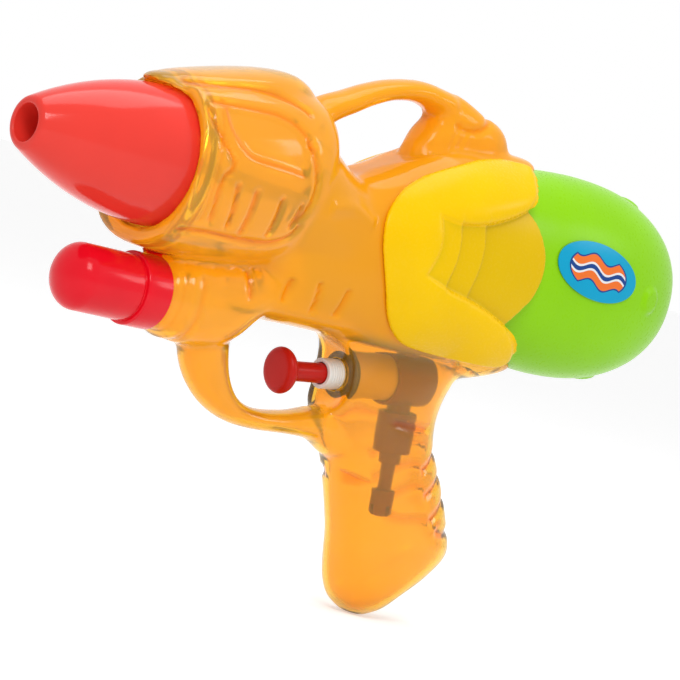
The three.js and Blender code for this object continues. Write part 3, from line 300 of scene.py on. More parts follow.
guard_table = [
    [89, -46, 9, 9], [93, -60, 8.6, 8.4], [99.3, -69.2, 6.6, 7.6], [108, -75, 4.5, 7],
    [119, -77, 3.6, 7], [134, -76, 4, 7], [147, -74.5, 6, 8], [158, -78, 7, 9],
]
loop_table = [
    [106, 18, 6, 8], [116.5, 27, 4.7, 7.6], [125.5, 31.8, 4.1, 7.2], [134, 36.2, 3.7, 7],
    [144, 39.9, 3.5, 7], [156, 41.5, 3.9, 7], [168, 39.4, 5, 7.5],
]
tank_front = 196.3
tank_middle = -7
tank_halves = [
    [0, 32.4, 23.2], [8, 32.6, 23.4], [16, 33.2, 23.9], [26, 34.5, 24.7], [41, 35.2, 25.2], [56, 34.2, 24.6],
    [68, 31.4, 22.8], [79, 26.4, 19.4], [87, 20, 15], [92.5, 12.4, 9.4], [95, 5, 4],
]
tank_table = [[place, tank_middle + high, tank_middle - high, wide] for place, high, wide in tank_halves]
tank_power = 2.2
fit_gap = 0.3
neck_face = 52.8
neck_radius = 8.9
nose_height = -1.2
neck_height = -44
pump_tilt = radians(-6)
nose_axis = Matrix.Translation(from_tip(0, 0, nose_height))
neck_place = Matrix.Translation(from_tip(neck_face, 0, neck_height))
tank_axis = Matrix.Translation(from_tip(0, 0, tank_middle))
pump_place = Matrix.Translation(from_tip(144.32, 0, -57.6)) @ Matrix.Rotation(pump_tilt, 4, "Y")
long_forms = (
    ("drum", drum_table, drum_front), ("hood", hood_table, drum_front),
    ("shoulder", shoulder_table, shoulder_front), ("middle", middle_table, middle_front),
    ("barrel", barrel_table, barrel_front), ("tail", tail_table, side_rear), ("fin", fin_table, side_rear),
    ("foot", foot_table, side_rear), ("tongue", tongue_table, side_rear),
)
forms = [form_along(name, table, start) for name, table, start in long_forms]
forms.append(form_down("grip", grip_table, grip_top))
forms += [form_bar("guard", guard_table), form_bar("loop", loop_table)]
forms.append(disc("neck", 0, barrel_front - neck_face + 4, neck_radius, neck_place))
body = joined("body_skin", forms)
skin_voxel = 0.001
remeshed(body, skin_voxel)
nose_base = 54.5
nose_seat_front = 40.5
nose_seat_radius = 23.4
cut(body, disc("nose_seat", nose_seat_front, nose_base + fit_gap, nose_seat_radius, nose_axis))
cut(body, form_along("tank_seat", tank_table, tank_front, tank_power, fit_gap))
remeshed(body, skin_voxel)
smoothed(body, 8)


def mesh_arrays(piece):
    """Points and normals of a mesh in millimetres from the nose's tip."""
    count = len(piece.data.vertices)
    points = np.empty(count * 3)
    normals = np.empty(count * 3)
    piece.data.vertices.foreach_get("co", points)
    piece.data.vertices.foreach_get("normal", normals)
    return points.reshape(-1, 3) * 1000 + tip_shift, normals.reshape(-1, 3)


def move_points(piece, points):
    """Put a mesh's points where these places in millimetres from the nose's tip are."""
    places = (points - tip_shift) / 1000
    piece.data.vertices.foreach_set("co", places.ravel())
    piece.data.update()


def smooth_line(corners, steps=8):
    """Points on a smooth curve through given corners of x and z."""
    rows = [[index, x, z] for index, (x, z) in enumerate(corners)]
    shares = np.linspace(0, len(rows) - 1, steps * (len(rows) - 1) + 1)
    return np.array([section_at(rows, share) for share in shares])


def from_run(flat, start, end):
    """The run from start to end in the side view, the way from it to each point, and the share along it."""
    run = end - start
    share = np.clip(((flat - start) @ run) / (run @ run), 0, 1)
    return run, flat - start - share[:, None] * run, share


def line_distance(flat, corners):
    """Distance in the side view from a line, its left side positive, and the share along it."""
    line = smooth_line(corners)
    best = np.full(len(flat), 1e9)
    side = np.ones(len(flat))
    along = np.zeros(len(flat))
    for index, (start, end) in enumerate(zip(line, line[1:])):
        run, gap, t = from_run(flat, start, end)
        distance = np.hypot(gap[:, 0], gap[:, 1])
        nearer = distance < best
        best[nearer] = distance[nearer]
        cross = run[0] * gap[:, 1] - run[1] * gap[:, 0]
        side[nearer] = np.where(cross < 0, -1, 1)[nearer]
        along[nearer] = ((index + t) / (len(line) - 1))[nearer]
    return best * side, along


def ramp(value, start, end):
    """Rises smoothly from 0 at start to 1 at end."""
    t = np.clip((value - start) / (end - start), 0, 1)
    return t * t * (3 - 2 * t)


def bell(value, width):
    """Falls smoothly from 1 where the value is zero, to a third at the width."""
    return np.exp(-((value / width) ** 2))


points, normals = mesh_arrays(body)
wall_face = 6.5
dent_floor = 7
dent_rim = 15
dent_reach = 14
pump_run = np.array(pump_place.to_3x3() @ Vector((1, 0, 0)))
from_sleeve = points - np.array(pump_place.translation) * 1000 - tip_shift
ahead = from_sleeve @ pump_run
around = np.linalg.norm(from_sleeve - ahead[:, None] * pump_run, axis=1)
dented = (1 - ramp(around, dent_floor, dent_rim)) * (np.abs(ahead) < dent_reach)
dented *= ramp(-(normals @ pump_run), 0, 0.4)
points = points + (np.clip(wall_face - ahead, 0, dent_reach) * dented)[:, None] * pump_run
move_points(body, points)
smoothed(body, 3)
points, normals = mesh_arrays(body)
x, y, z = points.T
flat = points[:, [0, 2]]
on_side = ramp(np.abs(normals[:, 1]), 0.12, 0.4)
press = np.zeros(len(points))
# Where the skin is pressed in, a deeper orange with less gloss is painted as shade; this holds how much.
crease_shade = np.zeros(len(points))


def furrow(corners, depth, width, share=1):
    """Press a soft furrow, or raise a ridge where the depth is below zero, fading at the line's ends, and
    mark a furrow for painted shade.
    """
    line = np.array(corners)
    reach = 4 * width
    near = np.all((flat > line.min(0) - reach) & (flat < line.max(0) + reach), axis=1)
    distance, along = line_distance(flat[near], corners)
    ends = ramp(along, 0, 0.06) * ramp(1 - along, 0, 0.06)
    share = share if np.isscalar(share) else share[near]
    amount = depth * bell(distance, width) * ends * share
    press[near] -= amount
    crease_shade[near] += np.clip(amount, 0, 1)


hood_upper_crease = [(46.6, 23.4), (59.5, 25.6), (75.2, 27.6), (84.8, 27.3), (92.1, 25.7), (95.7, 23.3)]
hood_lower_crease = [
    (51.7, 19.9), (62.7, 20.7), (73.1, 21.3), (81, 21.3), (87.7, 19.5), (92.8, 15.9), (95, 12.2),
]
rim_groove = [(57.4, 19), (57.6, 8), (57.6, -8), (57.4, -19)]
collar_edge = [
    (52.3, 20), (53.7, 14.5), (57.3, 9.2), (62.5, 3.9), (62.9, 0.6),
    (60.9, -1.6), (59.9, -6.6), (60.3, -11.3), (61.5, -19.5),
]
panel_edge = [(58.4, 19.8), (59.7, 13.4), (64.9, 7.8), (70.3, 5.2), (78.9, 4.7), (86.5, 4.3), (92.8, 3.7)]
rear_bead = [(92.8, 16.4), (95.7, 11.4), (98.9, 4.2), (99.6, -0.6), (98.2, -6.2), (95.2, -11.8)]
lower_ledge = [(50.4, -22.2), (62.1, -20.8), (75.3, -20.5), (88.4, -19.4), (95.4, -16.1), (98.7, -10.3)]
crease_depth = 1.1
crease_width = 1.0
flute_depth = 1.2
furrow(hood_upper_crease, crease_depth, crease_width, ramp(z, 19, 21))
furrow(hood_lower_crease, 1.0, crease_width, on_side)
furrow(rim_groove, 0.5, 0.6, on_side)
for line in (collar_edge, rear_bead, lower_ledge):
    furrow(line, crease_depth, crease_width, on_side)
drum_flutes = (
    [(66.7, -2.9), (68.9, -18.3)], [(74.9, -3.1), (75.1, -19.5)],
    [(86.4, -3.9), (86.4, -18)], [(96, -4.3), (93.7, -13.3)],
)
barrel_flutes = (
    [(92.2, -29.5), (93.5, -38.2)], [(106.4, -28.5), (106.4, -36.7)],
    [(117.2, -27.4), (120.2, -38.3)], [(129.9, -27.4), (129.9, -38.1)],
)
for flute in drum_flutes + barrel_flutes:
    furrow(flute, flute_depth, crease_width, on_side)
in_panel = (x > 54) & (x < 100) & (z > 0) & (z < 24)
past_edge = line_distance(flat[in_panel], panel_edge)[0]
under_hood = line_distance(flat[in_panel], hood_lower_crease)[0]
panel_depth = 1.2
sunk = ramp(past_edge, 0, 2.2) * ramp(-under_hood, 0.5, 2.5) * ramp(94.5 - x[in_panel], 0, 2.5)
press[in_panel] -= panel_depth * sunk * on_side[in_panel]
# A band of painted shade along the panel's edge.
panel_band = bell(past_edge - 0.8, 1.3) * ramp(95 - x[in_panel], 0, 3)
crease_shade[in_panel] += panel_band * on_side[in_panel]
notch_depth = 0.4
for place in (70, 72.8, 75.9, 79.3):
    press -= notch_depth * bell(x - place, 0.6) * ramp(-z, 29, 31) * ramp(z, -34, -32)
# Bands round the barrel: two pressed in and given painted shade, one raised.
for place, depth in ((68.6, 0.5), (71.8, -0.5), (75, 0.7)):
    band = bell(x - place, 0.9) * ramp(-z, 33, 36) * ramp(z, -62, -58)
    press -= depth * band
    crease_shade += max(depth, 0) * band
waist_ridge = [(109, -3.4), (121, -1.6), (133.4, -5.1)]
grip_line = [(153.6, -93.1), (157.4, -103), (163.7, -117.6), (165.9, -128.5)]
furrow(waist_ridge, -0.9, 2.4, on_side)
furrow(grip_line, 0.6, 0.8, on_side)
grip_ribs = (
    [(187.5, -82.5), (193.6, -77.4), (198, -72)], [(191.5, -91), (197.9, -85.5), (203, -79.5)],
    [(196.5, -98.5), (202.7, -93.2), (207.5, -87)], [(201, -101.5), (208.5, -101.8), (215, -98.5)],
)
rib_depth = 1.1
rib_width = 1.4
for rib in grip_ribs:
    furrow(rib, rib_depth, rib_width)
fin_groove = [(188, 42), (185.4, 38.5), (181, 35), (174.5, 33.4), (168.5, 34.5)]
furrow(fin_groove, 1.2, 1.2)
for place in (167.5, 171, 174.8):
    furrow([(place - 1.2, 25.5), (place, 30), (place + 2.2, 34.5)], -0.5, 0.7, on_side)
# Two dimples in the grip, each also filled with painted shade.
grip_dimples = ((156.2, -90, 10.5, 2.3, 1), (177.4, -68, 9.5, 1.5, 0.9))
for centre_x, centre_z, half_x, half_z, depth in grip_dimples:
    from_centre = np.hypot((x - centre_x) / half_x, (z - centre_z) / half_z)
    dimple = ramp(1.25 - from_centre, 0, 0.5) * on_side
    press -= depth * dimple
    crease_shade += dimple
points = points + press[:, None] * normals
waist_top = [[126, 8], [133.5, 9.8], [140.2, 12.7], [146.4, 15.4], [154.7, 19.2], [161.6, 22.3], [166.7, 24]]
waist_x = np.linspace(waist_top[0][0], waist_top[-1][0], 40)
waist_z = np.array([section_at(waist_top, place)[0] for place in waist_x])
flat_z = np.interp(x, waist_x, waist_z)
over_flat = (z > flat_z) & (z < flat_z + 4) & (normals[:, 2] > 0.5)
share = ramp(x, 126, 131) * ramp(170 - x, 0, 3) * over_flat
points[:, 2] += (flat_z - z) * share
move_points(body, points)


def note(piece, name, values):
    """Keep a number for each point of a mesh, for its material."""
    held = piece.data.attributes.new(name, "FLOAT", "POINT")
    held.data.foreach_set("value", np.ascontiguousarray(values, dtype=np.float32))


in_grip = ramp(-z, 40, 46) * ramp(x, 140, 150)
in_waist = ramp(x, 94, 106) * ramp(z, -45, -38)
wall_tint = 0.3
waist_tint = 0.35
wall_clear = 0.5
grip_clear = 0.36
waist_cloud = 0.4
# The wall's orange is deepened a little all over as its own tint. As painted light and shade it is left
# lighter over the grip and deepened more over the waist.
wall_tint_and_shade = wall_tint - wall_tint * in_grip + waist_tint * in_waist
note(body, "crease_shade", np.clip(np.maximum(crease_shade, wall_tint_and_shade), 0, 1))
note(body, "clear", wall_clear + grip_clear * in_grip - waist_cloud * in_waist)
smoothed(body, 2, factor=0.4)

wall = 1.7
hollow_voxel = 0.002
drum_inside = 56.7
drum_low = -32
rear_inside = 192
rear_low = -44
alone(body)
bpy.ops.object.duplicate()
hollow = bpy.context.object
hollow.name = "body_hollow"
remeshed(hollow, hollow_voxel)
for held in ("crease_shade", "clear"):
    if held in hollow.data.attributes:
        hollow.data.attributes.remove(hollow.data.attributes[held])
smoothed(hollow, 4)
points, normals = mesh_arrays(hollow)
points = points - wall * normals
in_front = (points[:, 0] < drum_inside) & (points[:, 2] > drum_low)
points[in_front, 0] = drum_inside
at_rear = (points[:, 0] > rear_inside) & (points[:, 2] > rear_low)
points[at_rear, 0] = rear_inside
move_points(hollow, points)
smoothed(hollow, 3)
edited(hollow, bpy.ops.mesh.flip_normals)
note(hollow, "crease_shade", np.zeros(len(points)))
note(hollow, "clear", np.ones(len(points)))
body = joined("body", [body, hollow])
for name, front, back, radius, place in (
    ("mouth", nose_base - 4, nose_base + 4, 20.5, nose_axis),
    ("neck_bore", -2, 18.2, 7.3, neck_place),
    ("sleeve_bore", 2, 11, 5.5, pump_place),
    ("seal_pocket", body_rear - 2.1, body_rear + 2, 17.7, tank_axis),
    ("tank_port", body_rear - 6, body_rear + 2, 14.4, tank_axis),
):
    cut(body, disc(name, front, back, radius, place))


def fed(tree, socket, value):
    """Set a socket to a value, or link it to another node's socket."""
    if isinstance(value, bpy.types.NodeSocket):
        tree.links.new(value, socket)
    else:
        socket.default_value = value


def node_of(tree, kind, settings=None, **inputs):
    """A new shader node with its settings, and its inputs by their names."""
    node = tree.nodes.new("ShaderNode" + kind)
    for key, value in (settings or {}).items():
        setattr(node, key, value)
    for key, value in inputs.items():
        fed(tree, node.inputs[key.replace("_", " ")], value)
    return node


def worked(tree, operation, *values):
    """A sum on one or two values or sockets, as a socket."""
    node = node_of(tree, "Math", {"operation": operation})
    for socket, value in zip(node.inputs, values):
        fed(tree, socket, value)
    return node.outputs[0]


def painted(tree, under, colour, share):
    """One colour painted over another where the share is one."""
    node = node_of(tree, "Mix", {"data_type": "RGBA"}, Factor=share, A=under, B=(*colour, 1))
    return node.outputs["Result"]


def noted(tree, name):
    """The number that a mesh keeps for each point, as a socket."""
    return node_of(tree, "Attribute", {"attribute_name": name}).outputs["Fac"]


def shown(tree, **looks):
    """Set or link the inputs of a material's main shader."""
    for key, value in looks.items():
        fed(tree, tree.nodes["Principled BSDF"].inputs[key.replace("_", " ")], value)


def own_tint(tree):
    """The drifting colour of a plastic, as a socket."""
    return next(node for node in tree.nodes if node.type == "VALTORGB").outputs["Color"]


def plastic(name, colour, roughness, mottle=0.03, grain=900, bump=0.01, **looks):
    """A moulded plastic: its colour drifts a little, and its gloss and skin vary finely."""
    material = bpy.data.materials.new(name)
    material.use_nodes = True
    tree = material.node_tree
    place = node_of(tree, "TexCoord").outputs["Object"]
    drift = node_of(tree, "TexNoise", Vector=place, Scale=45, Detail=3)
    tint = node_of(tree, "ValToRGB", Fac=drift.outputs["Fac"])
    for index, position, share in ((0, 0.3, 1 - mottle), (1, 0.7, 1 + mottle)):
        tint.color_ramp.elements[index].position = position
        tint.color_ramp.elements[index].color = [min(channel * share, 1) for channel in colour] + [1]
    fine = node_of(tree, "TexNoise", Vector=place, Scale=grain, Detail=2).outputs["Fac"]
    gloss = node_of(tree, "MapRange", Value=fine, To_Min=roughness * 0.8, To_Max=roughness * 1.25)
    relief = node_of(tree, "Bump", Strength=bump, Distance=0.0002, Height=fine)
    shown(tree, Base_Color=own_tint(tree), Roughness=gloss.outputs["Result"], Normal=relief.outputs["Normal"])
    shown(tree, **looks)
    return material


def fitted(piece, look, node, rides_on="body", sharp=35):
    """Give a piece its look, smooth it up to its sharp edges, and let it stand for its solid."""
    alone(piece)
    bpy.ops.object.shade_smooth_by_angle(angle=radians(sharp))
    piece.data.materials.clear()
    piece.data.materials.append(look)
    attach(piece, rides_on)
    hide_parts(node)


clear_orange = plastic("clear_orange", (1.0, 0.55, 0.03), 0.1, mottle=0.02, IOR=1.45)
tree = clear_orange.node_tree
# Painted shade: where the mesh marks it, the orange is mixed towards a deeper orange and the gloss is
# lowered.
shaded_orange = (0.97, 0.31, 0.0)
creases = noted(tree, "crease_shade")
shine = node_of(tree, "MapRange", Value=creases, To_Min=0.28, To_Max=0.08)
behind_face = node_of(tree, "NewGeometry").outputs["Backfacing"]
shown(
    tree,
    Base_Color=painted(tree, own_tint(tree), shaded_orange, creases),
    Specular_IOR_Level=shine.outputs["Result"],
    Transmission_Weight=worked(tree, "MAXIMUM", noted(tree, "clear"), behind_face),
)
fitted(body, clear_orange, "body_shell", sharp=40)

# Nose cone: a bullet of opaque warm red, moulded hollow with a deep muzzle hole, whose short spigot is
# pressed into the drum's mouth and glued there. It is turned from one outline.


def turned(name, outline, place, sides=96, rounding=0.3):
    """A piece turned about a frame's X from an outline of place and radius, with its corners rounded."""
    rows = []
    for index, (along, radius) in enumerate(outline):
        corner = Vector((along, radius))
        before = Vector(outline[index - 1]) - corner
        after = Vector(outline[(index + 1) % len(outline)]) - corner
        reach = min(rounding, 0.45 * before.length, 0.45 * after.length)
        if radius == 0 or before.angle(-after) < 0.2:
            rows.append(corner)
            continue
        start = corner + before.normalized() * reach
        end = corner + after.normalized() * reach
        for t in (0, 0.3, 0.7, 1):
            rows.append(start * (1 - t) ** 2 + corner * 2 * t * (1 - t) + end * t ** 2)
    piece = added(name, bpy.ops.mesh.primitive_circle_add, vertices=len(rows), fill_type="NOTHING")
    for vertex, row in zip(piece.data.vertices, rows):
        vertex.co = (row.x / 1000, 0, row.y / 1000)
        vertex.select = row.y == 0
    for edge in piece.data.edges:
        edge.select = all(rows[vertex].y == 0 for vertex in edge.vertices)
    bpy.ops.object.mode_set(mode="EDIT")
    bpy.ops.mesh.delete(type="EDGE")
    bpy.ops.object.mode_set(mode="OBJECT")
    edited(piece, bpy.ops.mesh.spin, steps=sides, angle=2 * pi, center=(0, 0, 0), axis=(1, 0, 0))
    return placed(outward(piece, merge=True), place)


def ring(front, back, inner, outer):
    """Outline of a plain ring between two places and two radii, or of a rod where the inner one is zero."""
    return [(front, inner), (front, outer), (back, outer), (back, inner)]


base_radius = 22.8
lip_radius = 8.2
bore_radius = 6.1
bore_depth = 14
jet_radius = 2.9
nose_wall = 2.2
spigot_radius = 20.2
spigot_end = nose_base + 2.4
nose_inner_face = bore_depth + 3


def nose_radius(place):
    """Radius of the bullet at a place behind the muzzle."""
    return base_radius - (base_radius - lip_radius) * (1 - place / nose_base) ** 2


nose_outline = [(0, bore_radius), (0, lip_radius - 0.7)]
nose_outline += [(place, nose_radius(place)) for place in np.linspace(0.7, nose_base, 40)]
nose_outline += [
    (nose_base, spigot_radius), (spigot_end, spigot_radius), (spigot_end, spigot_radius - nose_wall),
]
for place in np.linspace(nose_base, nose_inner_face, 12):
    nose_outline.append((place, min(nose_radius(place), spigot_radius) - nose_wall))
jet_hole = jet_radius + fit_gap
nose_outline += [(nose_inner_face, jet_hole), (bore_depth, jet_hole), (bore_depth, bore_radius)]
nose = turned("nose", nose_outline, nose_axis, sides=128, rounding=0.7)
nose_red = plastic("nose_red", (0.86, 0.045, 0.03), 0.13, bump=0.002, Specular_IOR_Level=0.25)
fitted(nose, nose_red, "nose_cone")

# Jet nozzle: a small turned insert of natural white plastic pressed through the nose's inner wall, with the
# jet hole in its middle and a nipple behind its flange for the hose.
nipple_radius = 1.4
jet_bore = 0.8
flange_front = 17.3
flange_back = 19.5
flange_radius = 5.5
nipple_end = 25.5
jet_outline = [
    (bore_depth, jet_bore), (bore_depth, jet_radius), (flange_front, jet_radius),
    (flange_front, flange_radius), (flange_back, flange_radius), (flange_back, nipple_radius),
    (nipple_end, nipple_radius), (nipple_end, jet_bore),
]
jet = turned("jet", jet_outline, nose_axis, sides=48, rounding=0.2)
natural_white = plastic("natural_white", (0.82, 0.81, 0.78), 0.35)
fitted(jet, natural_white, "jet_nozzle")

# Filler cap and washer: a moulded crimson screw cap with a domed front and a wider collar, which screws on
# the neck below the drum and presses a flat black rubber washer on the neck's face.
cap_front = -25.6
cap_dome = 8
cap_radius = 11
collar_radius = 12.1
collar_front = 1.9
cap_back = 11.9
cap_bore = 9.7
washer_stop = -2
cap_hollow = 7.7
cap_wall = 2
dome_turns = np.linspace(0, pi / 2, 14)
cap_outline = [(cap_front + cap_dome * (1 - cos(turn)), cap_radius * sin(turn)) for turn in dome_turns]
cap_outline += [
    (collar_front - 0.9, cap_radius), (collar_front - 0.5, cap_radius - 0.5),
    (collar_front, cap_radius - 0.4), (collar_front, collar_radius - 0.35),
    (collar_front + 0.5, collar_radius), (cap_back, collar_radius), (cap_back, cap_bore),
    (washer_stop, cap_bore), (washer_stop, cap_hollow), (cap_front + cap_dome, cap_hollow),
    (cap_front + 4, 6), (cap_front + cap_wall, 3), (cap_front + cap_wall, 0),
]
cap = turned("cap", cap_outline, neck_place, rounding=0.35)
crimson = plastic("crimson", (0.85, 0.004, 0.017), 0.14, mottle=0.04, Specular_IOR_Level=0.2)
fitted(cap, crimson, "filler_cap", "cap")
washer = turned("washer", ring(-1.7, -0.3, 7.3, 9.4), neck_place, rounding=0.25)
black_rubber = plastic("black_rubber", (0.018, 0.018, 0.019), 0.62, mottle=0.2, grain=2500, bump=0.15)
fitted(washer, black_rubber, "filler_washer", "cap_washer")

# Pump barrel and gasket: a moulded sleeve of natural white plastic that shows in front of the grip with fine
# turned rings, and behind the wall the cylinder that the piston slides in. A rubber ring seals its shoulder.
sleeve_bore = 3.7
sleeve_radius = 5.2
sleeve_end = 10.8
cylinder_bore = 6
cylinder_radius = 7.6
cylinder_back = 32.8
inner_step = 12.6
sleeve_rings = [(0, sleeve_bore), (0, sleeve_radius)]
for ring_front in (1.5, 2.5, 3.5, 4.5, 5.5):
    sleeve_rings += [
        (ring_front, sleeve_radius), (ring_front + 0.15, sleeve_radius - 0.14),
        (ring_front + 0.4, sleeve_radius - 0.14), (ring_front + 0.55, sleeve_radius),
    ]
barrel_outline = sleeve_rings + [
    (sleeve_end, sleeve_radius), (sleeve_end, cylinder_radius), (cylinder_back, cylinder_radius),
    (cylinder_back, cylinder_bore), (inner_step, cylinder_bore), (inner_step, sleeve_bore),
]
barrel = turned("barrel", barrel_outline, pump_place, rounding=0.35)
fitted(barrel, natural_white, "pump_barrel")
gasket = turned("gasket", ring(9, 10.5, 5.5, 8.4), pump_place, rounding=0.4)
fitted(gasket, black_rubber, "pump_gasket")

# Trigger and piston seal: one moulded red plunger with a round finger button, a rod and a piston head, whose
# groove holds a rubber ring. It slides straight back in the sleeve.
button_face = -19.5
button_back = -14.9
button_radius = 7.9
rod_radius = 3.4
piston_front = 12.9
piston_back = 16.9
piston_radius = 5.7
groove_half = 1.05
piston_middle = (piston_front + piston_back) / 2
seal_wire = 0.75
seal_radius = 5.1
groove_radius = 4.05
plunger_outline = [
    (button_face, 0), (button_face + 0.15, 5.6), (button_face + 0.45, 6.9), (button_face + 1.3, 7.75),
    (button_face + 2.2, button_radius), (button_face + 3.2, 7.6), (button_back, 6.2),
    (button_back + 0.7, 4.6), (button_back + 2, rod_radius), (piston_front, rod_radius),
    (piston_front, piston_radius),
    (piston_middle - groove_half, piston_radius), (piston_middle - groove_half, groove_radius),
    (piston_middle + groove_half, groove_radius), (piston_middle + groove_half, piston_radius),
    (piston_back, piston_radius), (piston_back, 0),
]
plunger = turned("plunger", plunger_outline, pump_place, rounding=0.8)
trigger_red = plastic("trigger_red", (0.53, 0.013, 0.008), 0.3, mottle=0.05, Specular_IOR_Level=0.15)
fitted(plunger, trigger_red, "trigger_plunger", "trigger")
seal_turns = np.linspace(0, 2 * pi, 16, endpoint=False)
seal_outline = [
    (piston_middle + seal_wire * cos(turn), seal_radius + seal_wire * sin(turn)) for turn in seal_turns
]
piston_seal = turned("piston_seal", seal_outline, pump_place, sides=72, rounding=0)
fitted(piston_seal, black_rubber, "piston_seal", "trigger", sharp=60)

# Return spring: a coil of drawn steel wire between the piston and the end of the pressure chamber, which
# shortens as the trigger goes in.


def rolled(name, rings, sides, radius, run):
    """A tube rolled from a flat grid along run(share), which gives its middle and two directions across."""
    piece = added(name, bpy.ops.mesh.primitive_grid_add, x_subdivisions=rings, y_subdivisions=sides)
    for vertex in piece.data.vertices:
        middle, first, second = run((vertex.co.x + 1) / 2)
        angle = pi * (vertex.co.y + 1)
        vertex.co = (middle + radius * (cos(angle) * first + sin(angle) * second)) / 1000
    return outward(piece, merge=True)


spring_front = 17.6
spring_back = 41.4
spring_radius = 4.2
spring_wire = 0.8
spring_turns = 6


def spring_run(share):
    """Middle of the wire and the directions across it, in millimetres along the pump."""
    turn = 2 * pi * spring_turns * share
    out = Vector((0, cos(turn), sin(turn)))
    middle = out * spring_radius
    middle.x = spring_front + (spring_back - spring_front) * share
    return middle, out, Vector((1, 0, 0))


spring = rolled("spring", spring_turns * 28, 12, spring_wire / 2, spring_run)
edited(spring, bpy.ops.mesh.fill_holes, sides=0)
placed(outward(spring), pump_place)
drawn_steel = plastic(
    "drawn_steel", (0.62, 0.63, 0.65), 0.28, mottle=0.08, grain=1800, bump=0.04, Metallic=1.0
)
fitted(spring, drawn_steel, "return_spring", sharp=60)
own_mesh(spring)

# Valve block and its two valves: dark moulded pieces pressed on the cylinder's end. The block holds the
# pressure chamber and a spigot up and down, and each valve housing is a cup pressed on its spigot.
block_front = 27.8
block_back = 45.3
block_radius = 9
socket_end = 33.1
socket_radius = 7.9
chamber_back = 42.1
chamber_radius = 5.4
valve_x = 37.6
spigot_reach = 15
valve_spigot = 4
port_radius = 1.8
valve_place = pump_place @ Matrix.Translation((valve_x / 1000, 0, 0)) @ Matrix.Rotation(-pi / 2, 4, "Y")
block = turned("block", ring(block_front, block_back, 0, block_radius), pump_place, rounding=0.9)
spigots = turned("spigots", ring(-spigot_reach, spigot_reach, 0, valve_spigot), valve_place, sides=48)
cut(block, spigots, "UNION")
cut(block, disc("socket", block_front - 1, socket_end, socket_radius, pump_place))
cut(block, disc("chamber", socket_end - 1, chamber_back, chamber_radius, pump_place))
cut(block, disc("ports", -spigot_reach - 1, spigot_reach + 1, port_radius, valve_place, sides=32))
dark_plastic = plastic("dark_plastic", (0.2, 0.04, 0.028), 0.42, mottle=0.15, grain=1400, bump=0.05)
fitted(block, dark_plastic, "valve_block")
housing_foot = 11.4
housing_radius = 6.4
housing_bore = 4.3
ball_room = 3.2
room_foot = spigot_reach + fit_gap
inlet_room = -22.5
inlet_bottom = -24.9
tube_socket = 2.7
foot_end = -28.9
foot_radius = 3.6
inlet_outline = [
    (foot_end, tube_socket), (foot_end, foot_radius), (inlet_bottom, foot_radius),
    (inlet_bottom, housing_radius), (-housing_foot, housing_radius), (-housing_foot, housing_bore),
    (-room_foot, housing_bore), (-room_foot, ball_room), (inlet_room, ball_room), (inlet_room, port_radius),
    (inlet_bottom, port_radius), (inlet_bottom, tube_socket),
]
inlet = turned("inlet", inlet_outline, valve_place, sides=64, rounding=0.5)
fitted(inlet, dark_plastic, "inlet_valve")
outlet_room = 21.7
outlet_top = 24.1
nipple_top = 30.1
outlet_outline = [
    (housing_foot, housing_bore), (housing_foot, housing_radius), (outlet_top, housing_radius),
    (outlet_top, nipple_radius), (nipple_top, nipple_radius), (nipple_top, jet_bore), (outlet_room, jet_bore),
    (outlet_room, ball_room), (room_foot, ball_room), (room_foot, housing_bore),
]
outlet = turned("outlet", outlet_outline, valve_place, sides=64, rounding=0.5)
fitted(outlet, dark_plastic, "outlet_valve")

# Valve balls: two small polished steel balls, each loose on its seat in a housing. The lower one lifts as the
# piston draws water in, and the upper one as it pushes the water out.
polished_steel = plastic(
    "polished_steel", (0.7, 0.71, 0.73), 0.12, mottle=0.03, grain=2600, bump=0.02, Metallic=1.0
)
ball_radius = 2.4
for ball_name, ball_height in (("inlet_ball", -20.6), ("outlet_ball", 16.9)):
    ball_turns = np.linspace(0, pi, 25)
    ball_outline = [(ball_height - ball_radius * cos(turn), ball_radius * sin(turn)) for turn in ball_turns]
    ball_outline[0] = (ball_height - ball_radius, 0)
    ball_outline[-1] = (ball_height + ball_radius, 0)
    ball = turned(ball_name + "_turned", ball_outline, valve_place, sides=48, rounding=0)
    fitted(ball, polished_steel, ball_name, ball_name, sharp=60)

# Suction tube and strainer: a dark tube pushed into the inlet valve, and on its lower end a moulded cup with
# four slots that the water is drawn through.
tube_top = -25.2
tube_bottom = -42.2
tube_radius = 2.4
tube_bore = 1.5
tube_outline = ring(tube_bottom, tube_top, tube_bore, tube_radius)
tube = turned("tube", tube_outline, valve_place, sides=40, rounding=0.2)
fitted(tube, dark_plastic, "suction_tube")
strainer_bottom = -47.2
strainer_top = -38.2
strainer_stop = -42.5
strainer_radius = 3.9
strainer_floor = strainer_bottom + 0.9
strainer_outline = [
    (strainer_bottom, 0), (strainer_bottom, strainer_radius - 1), (strainer_bottom + 1, strainer_radius),
    (strainer_top, strainer_radius), (strainer_top, tube_socket), (strainer_stop, tube_socket),
    (strainer_stop, tube_bore), (strainer_floor, tube_bore), (strainer_floor, 0),
]
strainer = turned("strainer", strainer_outline, valve_place, sides=48, rounding=0.3)
slot_width = 0.0016
slot_height = 0.0076
for slot_turn in (0, pi / 2):
    slot = added("slot", bpy.ops.mesh.primitive_cube_add, size=1)
    slot_size = Matrix.Diagonal((slot_height, 3 * strainer_radius / 1000, slot_width, 1))
    slot_at = Matrix.Translation((strainer_bottom / 1000, 0, 0)) @ Matrix.Rotation(slot_turn, 4, "X")
    placed(slot, valve_place @ slot_at @ slot_size)
    cut(strainer, slot)
fitted(strainer, dark_plastic, "suction_strainer")

